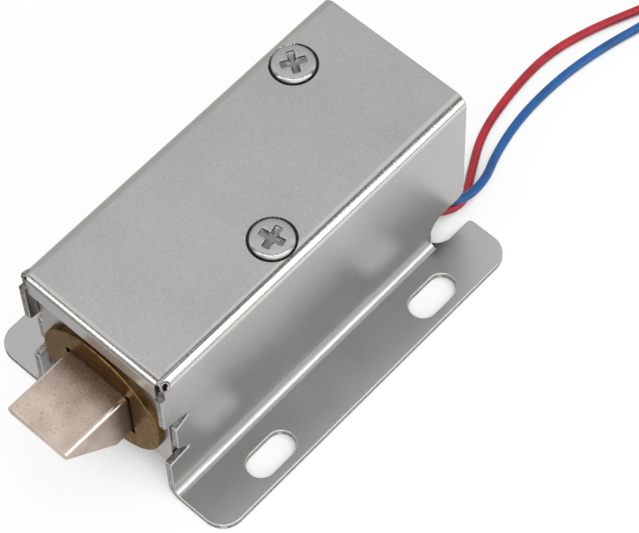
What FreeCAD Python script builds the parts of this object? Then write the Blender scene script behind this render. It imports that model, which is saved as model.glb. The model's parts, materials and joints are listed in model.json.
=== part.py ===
import FreeCAD, Part

import math
import os

import PartDesign
import Sketcher

from FreeCAD import Placement, Rotation, Vector

# Solenoid lock in millimetres. X is the way the bolt points, Y is across the body, Z is up.
# The origin is the centre of the four mounting slots, on the underside of the flanges.

SIZES = {
    # folded steel case
    "case_length": 53.6,
    "case_width": 23.4,
    "case_height": 27.5,
    "sheet_thickness": 1.0,
    "top_bend_radius": 1.7,
    "foot_bend_radius": 1.0,
    "flange_width": 8.3,
    "flange_corner_radius": 3.0,
    # mounting slots in the flanges
    "slot_pitch_length": 30.0,
    "slot_edge_distance": 3.2,
    "slot_width": 3.8,
    "slot_overall": 7.3,
    # front lip, folded down from the top between the walls
    "lip_setback": 0.4,
    "lip_over_bush": 1.55,
    "lip_side_gap": 0.2,
    "lip_bend_radius": 1.2,
    "corner_cut_length": 0.8,
    "corner_cut_height": 2.9,
    "relief_diameter": 1.4,
    "relief_setback": 1.3,
    "relief_drop": 0.5,
    "relief_reach": 3.0,
    # notch and crimp tongue in the front edge of each wall
    "notch_bottom": 8.5,
    "notch_top": 17.9,
    "notch_roof_drop": 1.0,
    "notch_floor_rise": 0.4,
    "notch_upper_depth": 3.9,
    "notch_lower_depth": 3.3,
    "notch_end_height": 0.5,
    "tongue_setback": 1.6,
    "tongue_front_low": 10.7,
    "tongue_front_high": 15.2,
    # cut-outs where the leads leave, at the rear of each wall and flange
    "cutout_length": 6.3,
    "cutout_height": 5.9,
    "cutout_over_flange": 1.15,
    "cutout_radius": 2.5,
    "cutout_tip_radius": 1.2,
    "flange_tip_radius": 0.6,
    # cover screws
    "front_screw_setback": 23.5,
    "rear_screw_setback": 10.2,
    "screw_offset": 7.5,
    "screw_head_diameter": 5.5,
    "screw_head_height": 1.1,
    "screw_head_round": 0.45,
    "screw_shank_diameter": 3.0,
    "screw_clearance": 0.2,
    "screw_recess_diameter": 6.3,
    "screw_recess_slope": 0.3,
    "screw_recess_depth": 0.6,
    "cross_length": 3.6,
    "cross_width": 0.9,
    "cross_depth": 0.6,
    "front_cross_turn": 12.0,
    "rear_cross_turn": 59.0,
    # U-shaped magnetic frame inside the case
    "frame_thickness": 2.0,
    "frame_side_gap": 0.1,
    "frame_front_gap": 0.1,
    "frame_rear_gap": 1.5,
    "frame_bend_radius": 2.6,
    "frame_foot": 4.4,
    "frame_edge_relief": 0.8,
    # brass guide bush in the front plate
    "chamber_floor": 0.5,
    "bush_diameter": 19.3,
    "bush_thickness": 1.0,
    "bush_edge_round": 0.2,
    "bush_neck_wall": 0.8,
    "bush_neck_reach": 2.0,
    "bolt_play": 0.4,
    # bolt
    "bolt_width": 9.8,
    "bolt_height": 8.6,
    "bolt_reach": 9.75,
    "bolt_flat_reach": 2.3,
    "bolt_tip_height": 1.45,
    "bolt_edge_round": 0.5,
    "collar_lap": 1.1,
    "collar_thickness": 2.0,
    "collar_corner_radius": 1.0,
    # plunger, its pin and the stroke
    "stroke": 9.5,
    "plunger_diameter": 8.0,
    "plunger_neck_diameter": 6.0,
    "plunger_neck_length": 5.8,
    "plunger_cone_length": 4.0,
    "plunger_tip_diameter": 3.5,
    "pin_diameter": 2.0,
    "pin_setback": 3.5,
    "pin_shortfall": 0.2,
    # return spring and its washer
    "spring_space": 14.5,
    "spring_wire": 0.8,
    "spring_mean_diameter": 10.0,
    "spring_turns": 6.0,
    "spring_end_gap": 0.05,
    "washer_thickness": 0.5,
    "washer_diameter": 13.0,
    "washer_bore": 8.6,
    # coil
    "pole_plate_thickness": 2.0,
    "pole_plate_foot": 3.2,
    "tube_play": 0.05,
    "tube_wall": 0.5,
    "bobbin_wall": 0.8,
    "bobbin_flange": 1.2,
    "bobbin_side_gap": 0.8,
    "bobbin_top_gap": 0.8,
    "bobbin_foot": 3.4,
    "bobbin_corner_radius": 2.0,
    "coil_side_gap": 1.9,
    "tape_thickness": 0.2,
    # fixed core, riveted into the rear plate
    "core_length": 8.5,
    "core_gap": 0.1,
    "core_recess_depth": 3.5,
    "core_recess_play": 0.08,
    "rivet_diameter": 5.0,
    "rivet_head_diameter": 7.2,
    "rivet_head_height": 0.8,
    "fit_play": 0.05,
    # leads
    "lead_diameter": 1.2,
    "joint_sleeve_diameter": 2.2,
    "joint_sleeve_length": 5.0,
    "joint_sleeve_gap": 0.05,
    "joint_sleeve_cover": 2.9,
    "red_sleeve_offset": 3.2,
    "blue_sleeve_offset": 0.6,
    "lead_coil_radius": 6.0,
    "tie_thickness": 0.3,
    "tie_width": 2.0,
    "tie_play": 0.15,
    "tinned_diameter": 0.8,
    "tinned_length": 7.0,
    "tinned_end_gap": 0.08,
    "bench_gap": 0.05,
}

# Share of the shorter run beside a route's corner that its arc takes up.
ARC_SHARE = 0.45

# Route of each lead from its solder joint to the coil where its spare length is put away.
RED_ROUTE = [
    (-9.6, 3.2, 2.87),
    (-15.0, 3.2, 2.87),
    (-22.4, 7.6, 1.3),
    (-27.6, 11.5, 0.7),
    (-32.6, 8.1, 0.6),
    (-37.8, 5.3, 0.6),
    (-44.6, 4.0, 0.6),
    (-52.6, 3.5, 0.6),
    (-59.8, 5.2, 0.6),
    (-67.8, 8.5, 0.6),
    (-74.2, 10.5, 0.9),
]
BLUE_ROUTE = [
    (-9.6, 0.6, 2.37),
    (-15.0, 0.6, 2.37),
    (-22.0, 4.6, 1.6),
    (-27.2, 10.4, 2.3),
    (-32.0, 10.6, 2.2),
    (-36.6, 8.8, 0.7),
    (-43.2, 7.4, 0.6),
    (-51.2, 7.3, 0.6),
    (-58.8, 8.4, 0.6),
    (-66.2, 10.4, 0.6),
    (-72.7, 12.3, 0.9),
]


class Size:
    """A length with its value in millimetres and the sheet's formula for it."""

    def __init__(self, value, formula=None):
        self.value = float(value)
        self.formula = repr(self.value) if formula is None else formula

    def combine(self, other, sign, value):
        return Size(value, f"({self.formula} {sign} {as_size(other).formula})")

    def __add__(self, other):
        return self.combine(other, "+", self.value + as_size(other).value)

    def __sub__(self, other):
        return self.combine(other, "-", self.value - as_size(other).value)

    def __mul__(self, other):
        return self.combine(other, "*", self.value * as_size(other).value)

    def __truediv__(self, other):
        return self.combine(other, "/", self.value / as_size(other).value)

    def __neg__(self):
        return Size(-self.value, f"(-1 * {self.formula})")


def as_size(number):
    return number if isinstance(number, Size) else Size(number)


def make_sheet(doc):
    """Fill the spreadsheet and give each named size back with its formula."""
    sheet = doc.addObject("Spreadsheet::Sheet", "Sizes")
    named = {}
    for row, (alias, number) in enumerate(SIZES.items(), start=1):
        sheet.set(f"A{row}", alias)
        sheet.set(f"B{row}", str(number))
        sheet.setAlias(f"B{row}", alias)
        named[alias] = Size(number, f"Sizes.{alias}")
    doc.recompute()
    return named


doc = FreeCAD.newDocument("solenoid_lock")
size = make_sheet(doc)
ZERO = Size(0.0)
pieces = []

# Places that several pieces share

half_length = size["case_length"] / 2
half_width = size["case_width"] / 2
inner_half_width = half_width - size["sheet_thickness"]
inner_top = size["case_height"] - size["sheet_thickness"]
half_span = half_width + size["flange_width"]

lip_front = half_length - size["lip_setback"]
lip_back = lip_front - size["sheet_thickness"]

frame_front = lip_back - size["frame_front_gap"]
frame_inner_front = frame_front - size["frame_thickness"]
frame_rear = -(half_length - size["frame_rear_gap"])
frame_inner_rear = frame_rear + size["frame_thickness"]
frame_half_width = inner_half_width - size["frame_side_gap"]
web_underside = inner_top - size["frame_thickness"]
axis_height = (web_underside + size["chamber_floor"]) / 2

bush_hole_half_width = size["bolt_width"] / 2 + size["bolt_play"]
bush_hole_half_height = size["bolt_height"] / 2 + size["bolt_play"]
neck_half_width = bush_hole_half_width + size["bush_neck_wall"]
neck_half_height = bush_hole_half_height + size["bush_neck_wall"]
neck_end = frame_inner_front - size["bush_neck_reach"]

collar_back = neck_end - size["collar_thickness"]
pin_place = collar_back + size["pin_setback"]
core_rim = frame_inner_rear + size["core_length"]
core_recess_bottom = core_rim - size["core_recess_depth"]
plunger_back = core_recess_bottom + size["core_gap"] + size["stroke"]
washer_front = collar_back - size["spring_space"]
pole_front = washer_front - size["washer_thickness"]
pole_back = pole_front - size["pole_plate_thickness"]

tube_inner_radius = size["plunger_diameter"] / 2 + size["tube_play"]
tube_outer_radius = tube_inner_radius + size["tube_wall"]
bobbin_radius = tube_outer_radius + size["bobbin_wall"]
winding_front = pole_back - size["bobbin_flange"]
winding_back = frame_inner_rear + size["bobbin_flange"]
winding_radius = inner_half_width - size["coil_side_gap"]
tape_radius = winding_radius + size["tape_thickness"]
screw_seat = size["case_height"] - size["screw_recess_depth"]


# Helpers for bodies, sketches and features

def bind(item, name, amount):
    """Tie one property of an object to the sheet."""
    item.setExpression(name, as_size(amount).formula)


def new_body(label, height=None):
    """Start a sub-part. Pieces on the bolt's axis are modelled about X and lifted to it."""
    body = doc.addObject("PartDesign::Body", label)
    body.Label = label
    if height is not None:
        bind(body, "Placement.Base.z", height)
    pieces.append(body)
    return body


def origin_feature(body, role):
    return next(item for item in body.Origin.OriginFeatures if item.Role == role)


def new_sketch(body, name, role, offset=ZERO):
    """A sketch on one of the body's own planes, moved along the plane's normal by an offset."""
    sketch = body.newObject("Sketcher::SketchObject", name)
    sketch.AttachmentSupport = [(origin_feature(body, role), "")]
    sketch.MapMode = "FlatFace"
    if offset.value:
        bind(sketch, "AttachmentOffset.Base.z", offset)
    return sketch


def hold(sketch, geometry, position, x, y):
    """Fix one point of a sketch at two sizes measured from the origin."""
    for kind, place, axis in (("DistanceX", x, -2), ("DistanceY", y, -1)):
        if place.value == 0.0:
            sketch.addConstraint(Sketcher.Constraint("PointOnObject", geometry, position, axis))
            continue
        number = sketch.addConstraint(
            Sketcher.Constraint(kind, -1, 1, geometry, position, place.value)
        )
        bind(sketch, f"Constraints[{number}]", place)


def set_radius(sketch, geometry, radius):
    number = sketch.addConstraint(Sketcher.Constraint("Radius", geometry, radius.value))
    bind(sketch, f"Constraints[{number}]", radius)


def draw_polygon(sketch, points):
    """A closed outline of straight lines through points given as pairs of sizes."""
    points = [(as_size(x), as_size(y)) for x, y in points]
    corners = [Vector(x.value, y.value, 0) for x, y in points]
    lines = []
    for start, end in zip(corners, corners[1:] + corners[:1]):
        lines.append(sketch.addGeometry(Part.LineSegment(start, end), False))
    for line, following in zip(lines, lines[1:] + lines[:1]):
        sketch.addConstraint(Sketcher.Constraint("Coincident", line, 2, following, 1))
    for line, (x, y) in zip(lines, points):
        hold(sketch, line, 1, x, y)


def draw_rectangle(sketch, left, bottom, right, top):
    draw_polygon(sketch, [(left, bottom), (right, bottom), (right, top), (left, top)])


def draw_circle(sketch, x, y, radius):
    x, y = as_size(x), as_size(y)
    centre = Vector(x.value, y.value, 0)
    circle = sketch.addGeometry(Part.Circle(centre, Vector(0, 0, 1), radius.value), False)
    hold(sketch, circle, 3, x, y)
    set_radius(sketch, circle, radius)


def draw_slot(sketch, x, y, overall, width):
    """A slot with round ends, lying along the sketch's first axis."""
    radius = width / 2
    reach = overall / 2 - radius
    ends = []
    for side, start, stop in ((-1, math.pi / 2, 3 * math.pi / 2), (1, -math.pi / 2, math.pi / 2)):
        centre = Vector(x.value + side * reach.value, y.value, 0)
        circle = Part.Circle(centre, Vector(0, 0, 1), radius.value)
        ends.append(sketch.addGeometry(Part.ArcOfCircle(circle, start, stop), False))
    left, right = ends
    sides = []
    for side in (-1, 1):
        height = y.value + side * radius.value
        start = Vector(x.value - reach.value, height, 0)
        stop = Vector(x.value + reach.value, height, 0)
        sides.append(sketch.addGeometry(Part.LineSegment(start, stop), False))
    lower, upper = sides
    for arc, arc_end, line, line_end in (
        (left, 2, lower, 1),
        (right, 1, lower, 2),
        (right, 2, upper, 2),
        (left, 1, upper, 1),
    ):
        sketch.addConstraint(Sketcher.Constraint("Tangent", arc, arc_end, line, line_end))
    sketch.addConstraint(Sketcher.Constraint("Equal", left, right))
    hold(sketch, left, 3, x - reach, y)
    hold(sketch, right, 3, x + reach, y)
    set_radius(sketch, left, radius)


def draw_rounded_corner(sketch, left, bottom, right, top, radius):
    """A rectangle whose upper right corner is an arc."""
    points = [
        (left, bottom),
        (right, bottom),
        (right, top - radius),
        (right - radius, top),
        (left, top),
    ]
    corners = [Vector(x.value, y.value, 0) for x, y in points]
    lines = []
    for start, end in ((0, 1), (1, 2), (3, 4), (4, 0)):
        segment = Part.LineSegment(corners[start], corners[end])
        lines.append(sketch.addGeometry(segment, False))
    centre = Vector((right - radius).value, (top - radius).value, 0)
    circle = Part.Circle(centre, Vector(0, 0, 1), radius.value)
    arc = sketch.addGeometry(Part.ArcOfCircle(circle, 0, math.pi / 2), False)
    floor, side, roof, back = lines
    for first, first_end, second, second_end in (
        (floor, 2, side, 1),
        (side, 2, arc, 1),
        (arc, 2, roof, 1),
        (roof, 2, back, 1),
        (back, 2, floor, 1),
    ):
        sketch.addConstraint(
            Sketcher.Constraint("Coincident", first, first_end, second, second_end)
        )
    for line, (x, y) in zip((floor, side, roof, back), (points[0], points[1], points[3], points[4])):
        hold(sketch, line, 1, x, y)
    hold(sketch, side, 2, *points[2])
    set_radius(sketch, arc, radius)


def add_pad(body, name, sketch, length, midplane=False):
    pad = body.newObject("PartDesign::Pad", name)
    pad.Profile = sketch
    pad.Midplane = midplane
    bind(pad, "Length", length)
    doc.recompute()
    return pad


def add_pocket(body, name, sketch, length, midplane=False, towards_normal=False):
    """Cut a profile to a depth, against the sketch's normal unless told otherwise."""
    before = body.Shape.Volume
    pocket = body.newObject("PartDesign::Pocket", name)
    pocket.Profile = sketch
    pocket.Midplane = midplane
    pocket.Reversed = towards_normal
    bind(pocket, "Length", length)
    doc.recompute()
    if body.Shape.Volume > before - 0.01:
        raise RuntimeError(f"{name} cuts nothing")
    return pocket


def add_revolution(body, name, sketch, role):
    """Turn a profile once about one of the body's axes."""
    turned = body.newObject("PartDesign::Revolution", name)
    turned.Profile = sketch
    turned.ReferenceAxis = (origin_feature(body, role), [""])
    turned.Angle = 360.0
    doc.recompute()
    return turned


def straight_edges(feature, direction, x=None, y=None, z=None):
    """Names of the edges along a direction whose middle is at the given places."""
    found = []
    for number, edge in enumerate(feature.Shape.Edges, start=1):
        if edge.Curve.TypeId != "Part::GeomLine":
            continue
        if edge.tangentAt(edge.FirstParameter).cross(direction).Length > 1e-6:
            continue
        middle = edge.valueAt((edge.FirstParameter + edge.LastParameter) / 2)
        wanted = ((middle.x, x), (middle.y, y), (middle.z, z))
        if all(place is None or abs(actual - place.value) < 1e-4 for actual, place in wanted):
            found.append(f"Edge{number}")
    return found


def round_edges(feature, radius, x=None, z=None):
    """Names of the circular edges of a radius whose centre is at the given places."""
    found = []
    for number, edge in enumerate(feature.Shape.Edges, start=1):
        if edge.Curve.TypeId != "Part::GeomCircle":
            continue
        centre = edge.Curve.Center
        wanted = ((edge.Curve.Radius, radius), (centre.x, x), (centre.z, z))
        if all(place is None or abs(actual - place.value) < 1e-6 for actual, place in wanted):
            found.append(f"Edge{number}")
    return found


def add_fillet(body, name, base, edges, radius):
    fillet = body.newObject("PartDesign::Fillet", name)
    fillet.Base = (base, edges)
    bind(fillet, "Radius", radius)
    doc.recompute()
    return fillet


ALONG_X = Vector(1, 0, 0)
ALONG_Y = Vector(0, 1, 0)
ALONG_Z = Vector(0, 0, 1)
PAST_END = Size(1.0)


# Case: one folded sheet with side flanges, a front lip, crimp tongues and lead cut-outs

def build_case_shell(body):
    """The hat section, with its four long bends at their inside and outside radii."""
    sheet, height = size["sheet_thickness"], size["case_height"]
    outline = new_sketch(body, "case_outline", "YZ_Plane")
    draw_polygon(outline, [
        (-half_span, ZERO),
        (half_span, ZERO),
        (half_span, sheet),
        (half_width, sheet),
        (half_width, height),
        (-half_width, height),
        (-half_width, sheet),
        (-half_span, sheet),
    ])
    block = add_pad(body, "case_block", outline, size["case_length"], midplane=True)

    hollow = new_sketch(body, "case_hollow_outline", "YZ_Plane")
    draw_rectangle(hollow, -inner_half_width, -PAST_END, inner_half_width, inner_top)
    room = size["case_length"] + PAST_END
    block = add_pocket(body, "case_hollow", hollow, room, midplane=True)

    bends = (
        ("top_outer_bends", half_width, height, size["top_bend_radius"]),
        ("foot_upper_bends", half_width, sheet, size["foot_bend_radius"]),
        ("top_inner_bends", inner_half_width, inner_top, size["top_bend_radius"] - sheet),
        ("foot_under_bends", inner_half_width, ZERO, size["foot_bend_radius"] + sheet),
    )
    for name, side, level, radius in bends:
        edges = straight_edges(block, ALONG_X, y=side, z=level)
        edges += straight_edges(block, ALONG_X, y=-side, z=level)
        block = add_fillet(body, name, block, edges, radius)
    return block


def build_case_front(body):
    """The trimmed corners with their relief holes, the lip, and the notch of each wall."""
    height = size["case_height"]
    wide = half_span * 2
    trim = new_sketch(body, "corner_trim_outline", "XZ_Plane")
    draw_rectangle(
        trim,
        half_length - size["corner_cut_length"],
        height - size["corner_cut_height"],
        half_length + PAST_END,
        height + PAST_END,
    )
    add_pocket(body, "corner_trim", trim, wide, midplane=True)

    reach = size["relief_reach"]
    for side, label in ((1, "right"), (-1, "left")):
        hole = body.newObject("PartDesign::SubtractiveCylinder", f"{label}_corner_relief")
        hole.Placement = Placement(Vector(), Rotation(ALONG_X, -45 * side))
        bind(hole, "Radius", size["relief_diameter"] / 2)
        bind(hole, "Height", reach * 2)
        bind(hole, "Placement.Base.x", half_length - size["relief_setback"])
        bind(hole, "Placement.Base.y", (half_width - reach) * side)
        bind(hole, "Placement.Base.z", height - size["relief_drop"] - reach)
        doc.recompute()

    lip_width = (inner_half_width - size["lip_side_gap"]) * 2
    bend_start = lip_front - size["lip_bend_radius"]
    lip_foot = axis_height + size["bush_diameter"] / 2 + size["lip_over_bush"]
    room = new_sketch(body, "lip_room_outline", "XZ_Plane")
    draw_rectangle(room, bend_start, lip_foot, half_length + PAST_END, height + PAST_END)
    add_pocket(body, "lip_room", room, lip_width, midplane=True)
    lip = new_sketch(body, "lip_outline", "XZ_Plane")
    behind_bend = bend_start - PAST_END
    radius = size["lip_bend_radius"]
    draw_rounded_corner(lip, behind_bend, lip_foot, lip_front, height, radius)
    add_pad(body, "front_lip", lip, lip_width, midplane=True)
    behind = new_sketch(body, "lip_back_outline", "XZ_Plane")
    draw_rectangle(behind, behind_bend - PAST_END, lip_foot - PAST_END, lip_back, inner_top)
    add_pocket(body, "lip_back_face", behind, lip_width, midplane=True)

    notch = new_sketch(body, "wall_notch_outline", "XZ_Plane")
    upper_end = half_length - size["notch_upper_depth"]
    lower_end = half_length - size["notch_lower_depth"]
    roof = size["notch_top"] - size["notch_roof_drop"]
    floor = size["notch_bottom"] + size["notch_floor_rise"]
    tongue_front = half_length - size["tongue_setback"]
    draw_polygon(notch, [
        (half_length + PAST_END, size["notch_bottom"]),
        (half_length + PAST_END, size["notch_top"]),
        (half_length, size["notch_top"]),
        (upper_end, roof),
        (upper_end, roof - size["notch_end_height"]),
        (tongue_front, size["tongue_front_high"]),
        (tongue_front, size["tongue_front_low"]),
        (lower_end, floor + size["notch_end_height"]),
        (lower_end, floor),
        (half_length, size["notch_bottom"]),
    ])
    return add_pocket(body, "wall_notches", notch, wide, midplane=True)


def build_case_rear(body):
    """The cut-outs that the leads leave by, across the bend of each wall and flange."""
    sheet = size["sheet_thickness"]
    behind = -half_length - PAST_END
    start = size["cutout_length"] - half_length
    radius = size["cutout_radius"]
    wall = new_sketch(body, "wall_cutout_outline", "XZ_Plane")
    draw_rounded_corner(wall, behind, sheet, start, size["cutout_height"], radius)
    cut = add_pocket(body, "wall_cutouts", wall, half_span * 2, midplane=True)
    tips = straight_edges(cut, ALONG_Y, x=-half_length, z=size["cutout_height"])
    add_fillet(body, "wall_cutout_tips", cut, tips, size["cutout_tip_radius"])

    flange = new_sketch(body, "flange_cutout_outline", "XY_Plane")
    inside = inner_half_width - PAST_END
    reach = half_width + size["cutout_over_flange"]
    draw_rounded_corner(flange, behind, inside, start, reach, radius)
    return add_pocket(body, "flange_cutout", flange, sheet * 2, towards_normal=True)


def build_case_flanges(body, cutout):
    """Two slots in one flange, mirrored with its cut-out to the other, and the round corners."""
    slots = new_sketch(body, "slot_outlines", "XY_Plane")
    across = half_span - size["slot_edge_distance"]
    for side in (-1, 1):
        place = size["slot_pitch_length"] / 2 * side
        draw_slot(slots, place, across, size["slot_overall"], size["slot_width"])
    thickness = size["sheet_thickness"] * 2
    slotted = add_pocket(body, "slots", slots, thickness, towards_normal=True)
    mirrored = body.newObject("PartDesign::Mirrored", "flange_mirror")
    mirrored.Originals = [cutout, slotted]
    mirrored.MirrorPlane = (origin_feature(body, "XZ_Plane"), [""])
    body.Tip = mirrored
    doc.recompute()
    edges = []
    for x in (half_length, -half_length):
        for y in (half_span, -half_span):
            edges += straight_edges(mirrored, ALONG_Z, x=x, y=y)
    corners = add_fillet(body, "flange_corners", mirrored, edges, size["flange_corner_radius"])
    inner = half_width + size["cutout_over_flange"]
    tips = straight_edges(corners, ALONG_Z, x=-half_length, y=inner)
    tips += straight_edges(corners, ALONG_Z, x=-half_length, y=-inner)
    add_fillet(body, "flange_tips", corners, tips, size["flange_tip_radius"])


def build_screw_seats(body):
    """Each cover screw sits in a coined recess of the top, with a clearance hole below."""
    slope = size["screw_recess_slope"]
    for label, place, side in screw_places():
        recess = body.newObject("PartDesign::SubtractiveCone", f"{label}_screw_recess")
        bind(recess, "Radius1", size["screw_recess_diameter"] / 2 - slope)
        bind(recess, "Radius2", size["screw_recess_diameter"] / 2)
        bind(recess, "Height", size["screw_recess_depth"])
        hole = body.newObject("PartDesign::SubtractiveCylinder", f"{label}_screw_clearance")
        bind(hole, "Radius", size["screw_shank_diameter"] / 2 + size["screw_clearance"])
        bind(hole, "Height", size["sheet_thickness"] * 2)
        for item, level in ((recess, screw_seat), (hole, inner_top - size["sheet_thickness"])):
            bind(item, "Placement.Base.x", place)
            bind(item, "Placement.Base.y", size["screw_offset"] * side)
            bind(item, "Placement.Base.z", level)
        doc.recompute()


def screw_places():
    """The two cover screws stand diagonally on the top, each set back from its end of the case."""
    return (
        ("front", half_length - size["front_screw_setback"], 1),
        ("rear", size["rear_screw_setback"] - half_length, -1),
    )


def build_case():
    body = new_body("case")
    build_case_shell(body)
    build_case_front(body)
    cutout = build_case_rear(body)
    build_case_flanges(body, cutout)
    build_screw_seats(body)


# Cover screws: pan heads with a cross recess, threaded into the frame's web

def build_cover_screw(label, place, side, turn):
    body = new_body(f"{label}_cover_screw", screw_seat)
    body.Placement = Placement(Vector(), Rotation(ALONG_Z, turn.value))
    bind(body, "Placement.Base.x", place)
    bind(body, "Placement.Base.y", size["screw_offset"] * side)
    bind(body, "Placement.Base.z", screw_seat)
    shank = size["screw_shank_diameter"] / 2
    head = size["screw_head_diameter"] / 2
    top = size["screw_head_height"]
    tip = web_underside - screw_seat
    profile = new_sketch(body, f"{label}_screw_profile", "XZ_Plane")
    draw_polygon(profile, [
        (ZERO, tip),
        (shank, tip),
        (shank, ZERO),
        (head, ZERO),
        (head, top),
        (ZERO, top),
    ])
    turned = add_revolution(body, f"{label}_screw_turned", profile, "Z_Axis")
    rim = round_edges(turned, head, z=top)
    add_fillet(body, f"{label}_screw_rim", turned, rim, size["screw_head_round"])
    recess = new_sketch(body, f"{label}_cross_outline", "XY_Plane", top)
    long, narrow = size["cross_length"] / 2, size["cross_width"] / 2
    draw_polygon(recess, [
        (long, -narrow),
        (long, narrow),
        (narrow, narrow),
        (narrow, long),
        (-narrow, long),
        (-narrow, narrow),
        (-long, narrow),
        (-long, -narrow),
        (-narrow, -narrow),
        (-narrow, -long),
        (narrow, -long),
        (narrow, -narrow),
    ])
    add_pocket(body, f"{label}_cross", recess, size["cross_depth"])


# Frame: a U of thick steel strip under the top, with the bush in front and the core behind

def build_frame():
    body = new_body("frame")
    width = frame_half_width * 2
    thickness = size["frame_thickness"]
    outline = new_sketch(body, "frame_outline", "XZ_Plane")
    draw_rectangle(outline, frame_rear, size["frame_foot"], frame_front, inner_top)
    block = add_pad(body, "frame_block", outline, width, midplane=True)
    edges = straight_edges(block, ALONG_Y, x=frame_front, z=inner_top)
    edges += straight_edges(block, ALONG_Y, x=frame_rear, z=inner_top)
    add_fillet(body, "frame_outer_bends", block, edges, size["frame_bend_radius"])
    inside = new_sketch(body, "frame_inside_outline", "XZ_Plane")
    below = size["frame_foot"] - PAST_END
    draw_rectangle(inside, frame_inner_rear, below, frame_inner_front, web_underside)
    hollow = add_pocket(body, "frame_inside", inside, width + PAST_END, midplane=True)
    edges = straight_edges(hollow, ALONG_Y, x=frame_inner_front, z=web_underside)
    edges += straight_edges(hollow, ALONG_Y, x=frame_inner_rear, z=web_underside)
    radius = size["frame_bend_radius"] - thickness
    add_fillet(body, "frame_inner_bends", hollow, edges, radius)

    relief = size["frame_edge_relief"]
    corners = new_sketch(body, "frame_edge_outline", "YZ_Plane")
    for side in (1, -1):
        draw_polygon(corners, [
            ((frame_half_width - relief) * side, inner_top),
            (frame_half_width * side, inner_top - relief),
            ((frame_half_width + PAST_END) * side, inner_top - relief),
            ((frame_half_width + PAST_END) * side, inner_top + PAST_END),
            ((frame_half_width - relief) * side, inner_top + PAST_END),
        ])
    add_pocket(body, "frame_edge_reliefs", corners, size["case_length"], midplane=True)

    through = thickness + PAST_END * 2
    neck = new_sketch(body, "frame_neck_outline", "YZ_Plane", frame_front + PAST_END)
    low, high = axis_height - neck_half_height, axis_height + neck_half_height
    draw_rectangle(neck, -neck_half_width, low, neck_half_width, high)
    add_pocket(body, "frame_neck_hole", neck, through)
    rivet = new_sketch(body, "frame_rivet_outline", "YZ_Plane", frame_inner_rear + PAST_END)
    draw_circle(rivet, ZERO, axis_height, size["rivet_diameter"] / 2 + size["fit_play"])
    add_pocket(body, "frame_rivet_hole", rivet, through)
    taps = new_sketch(body, "frame_tap_outlines", "XY_Plane", inner_top + PAST_END)
    for _, place, side in screw_places():
        draw_circle(taps, place, size["screw_offset"] * side, size["screw_shank_diameter"] / 2)
    add_pocket(body, "frame_tapped_holes", taps, through)


# Guide bush: a round brass flange with a rectangular neck seated in the frame

def build_guide_bush():
    body = new_body("guide_bush", axis_height)
    disc = new_sketch(body, "bush_disc_outline", "YZ_Plane", frame_front)
    draw_circle(disc, ZERO, ZERO, size["bush_diameter"] / 2)
    plate = add_pad(body, "bush_disc", disc, size["bush_thickness"])
    bush_front = frame_front + size["bush_thickness"]
    rim = round_edges(plate, size["bush_diameter"] / 2, x=bush_front)
    add_fillet(body, "bush_rim", plate, rim, size["bush_edge_round"])
    neck = new_sketch(body, "bush_neck_outline", "YZ_Plane", neck_end)
    draw_rectangle(neck, -neck_half_width, -neck_half_height, neck_half_width, neck_half_height)
    add_pad(body, "bush_neck", neck, frame_front - neck_end)
    hole = new_sketch(body, "bush_hole_outline", "YZ_Plane", bush_front + PAST_END)
    wide, tall = bush_hole_half_width, bush_hole_half_height
    draw_rectangle(hole, -wide, -tall, wide, tall)
    add_pocket(body, "bush_hole", hole, bush_front - neck_end + PAST_END * 2)


# Bolt: a rectangular bar with an underside bevel, and a collar that stops it in the bush

def build_bolt():
    body = new_body("bolt", axis_height)
    tall, wide = size["bolt_height"] / 2, size["bolt_width"]
    tip = half_length + size["bolt_reach"]
    side = new_sketch(body, "bolt_side_outline", "XZ_Plane")
    draw_polygon(side, [
        (neck_end, -tall),
        (half_length + size["bolt_flat_reach"], -tall),
        (tip, tall - size["bolt_tip_height"]),
        (tip, tall),
        (neck_end, tall),
    ])
    bar = add_pad(body, "bolt_bar", side, wide, midplane=True)
    edges = []
    for number, edge in enumerate(bar.Shape.Edges, start=1):
        along = edge.tangentAt(edge.FirstParameter)
        if abs(along.y) < 1e-6 and abs(along.x) > 1e-6:
            edges.append(f"Edge{number}")
    add_fillet(body, "bolt_long_edges", bar, edges, size["bolt_edge_round"])

    lap = size["collar_lap"]
    collar = new_sketch(body, "bolt_collar_outline", "YZ_Plane", collar_back)
    collar_wide, collar_tall = bush_hole_half_width + lap, bush_hole_half_height + lap
    draw_rectangle(collar, -collar_wide, -collar_tall, collar_wide, collar_tall)
    pad = add_pad(body, "bolt_collar", collar, size["collar_thickness"])
    edges = []
    for y in (collar_wide, -collar_wide):
        for z in (collar_tall, -collar_tall):
            edges += straight_edges(pad, ALONG_X, y=y, z=z)
    add_fillet(body, "bolt_collar_corners", pad, edges, size["collar_corner_radius"])

    bore = new_sketch(body, "bolt_bore_outline", "YZ_Plane", collar_back - PAST_END)
    draw_circle(bore, ZERO, ZERO, size["plunger_neck_diameter"] / 2 + size["fit_play"])
    depth = size["plunger_neck_length"] + PAST_END
    add_pocket(body, "bolt_bore", bore, depth, towards_normal=True)
    pin = new_sketch(body, "bolt_pin_outline", "XZ_Plane")
    draw_circle(pin, pin_place, ZERO, size["pin_diameter"] / 2)
    add_pocket(body, "bolt_pin_hole", pin, wide + PAST_END, midplane=True)


# Round pieces on the bolt's axis, each a profile turned about it

def build_turned(label, points):
    body = new_body(label, axis_height)
    profile = new_sketch(body, f"{label}_profile", "XZ_Plane")
    draw_polygon(profile, points)
    add_revolution(body, f"{label}_turned", profile, "X_Axis")
    return body


def build_ring(label, back, front, inner_radius, outer_radius):
    return build_turned(label, [
        (back, inner_radius),
        (front, inner_radius),
        (front, outer_radius),
        (back, outer_radius),
    ])


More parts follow.
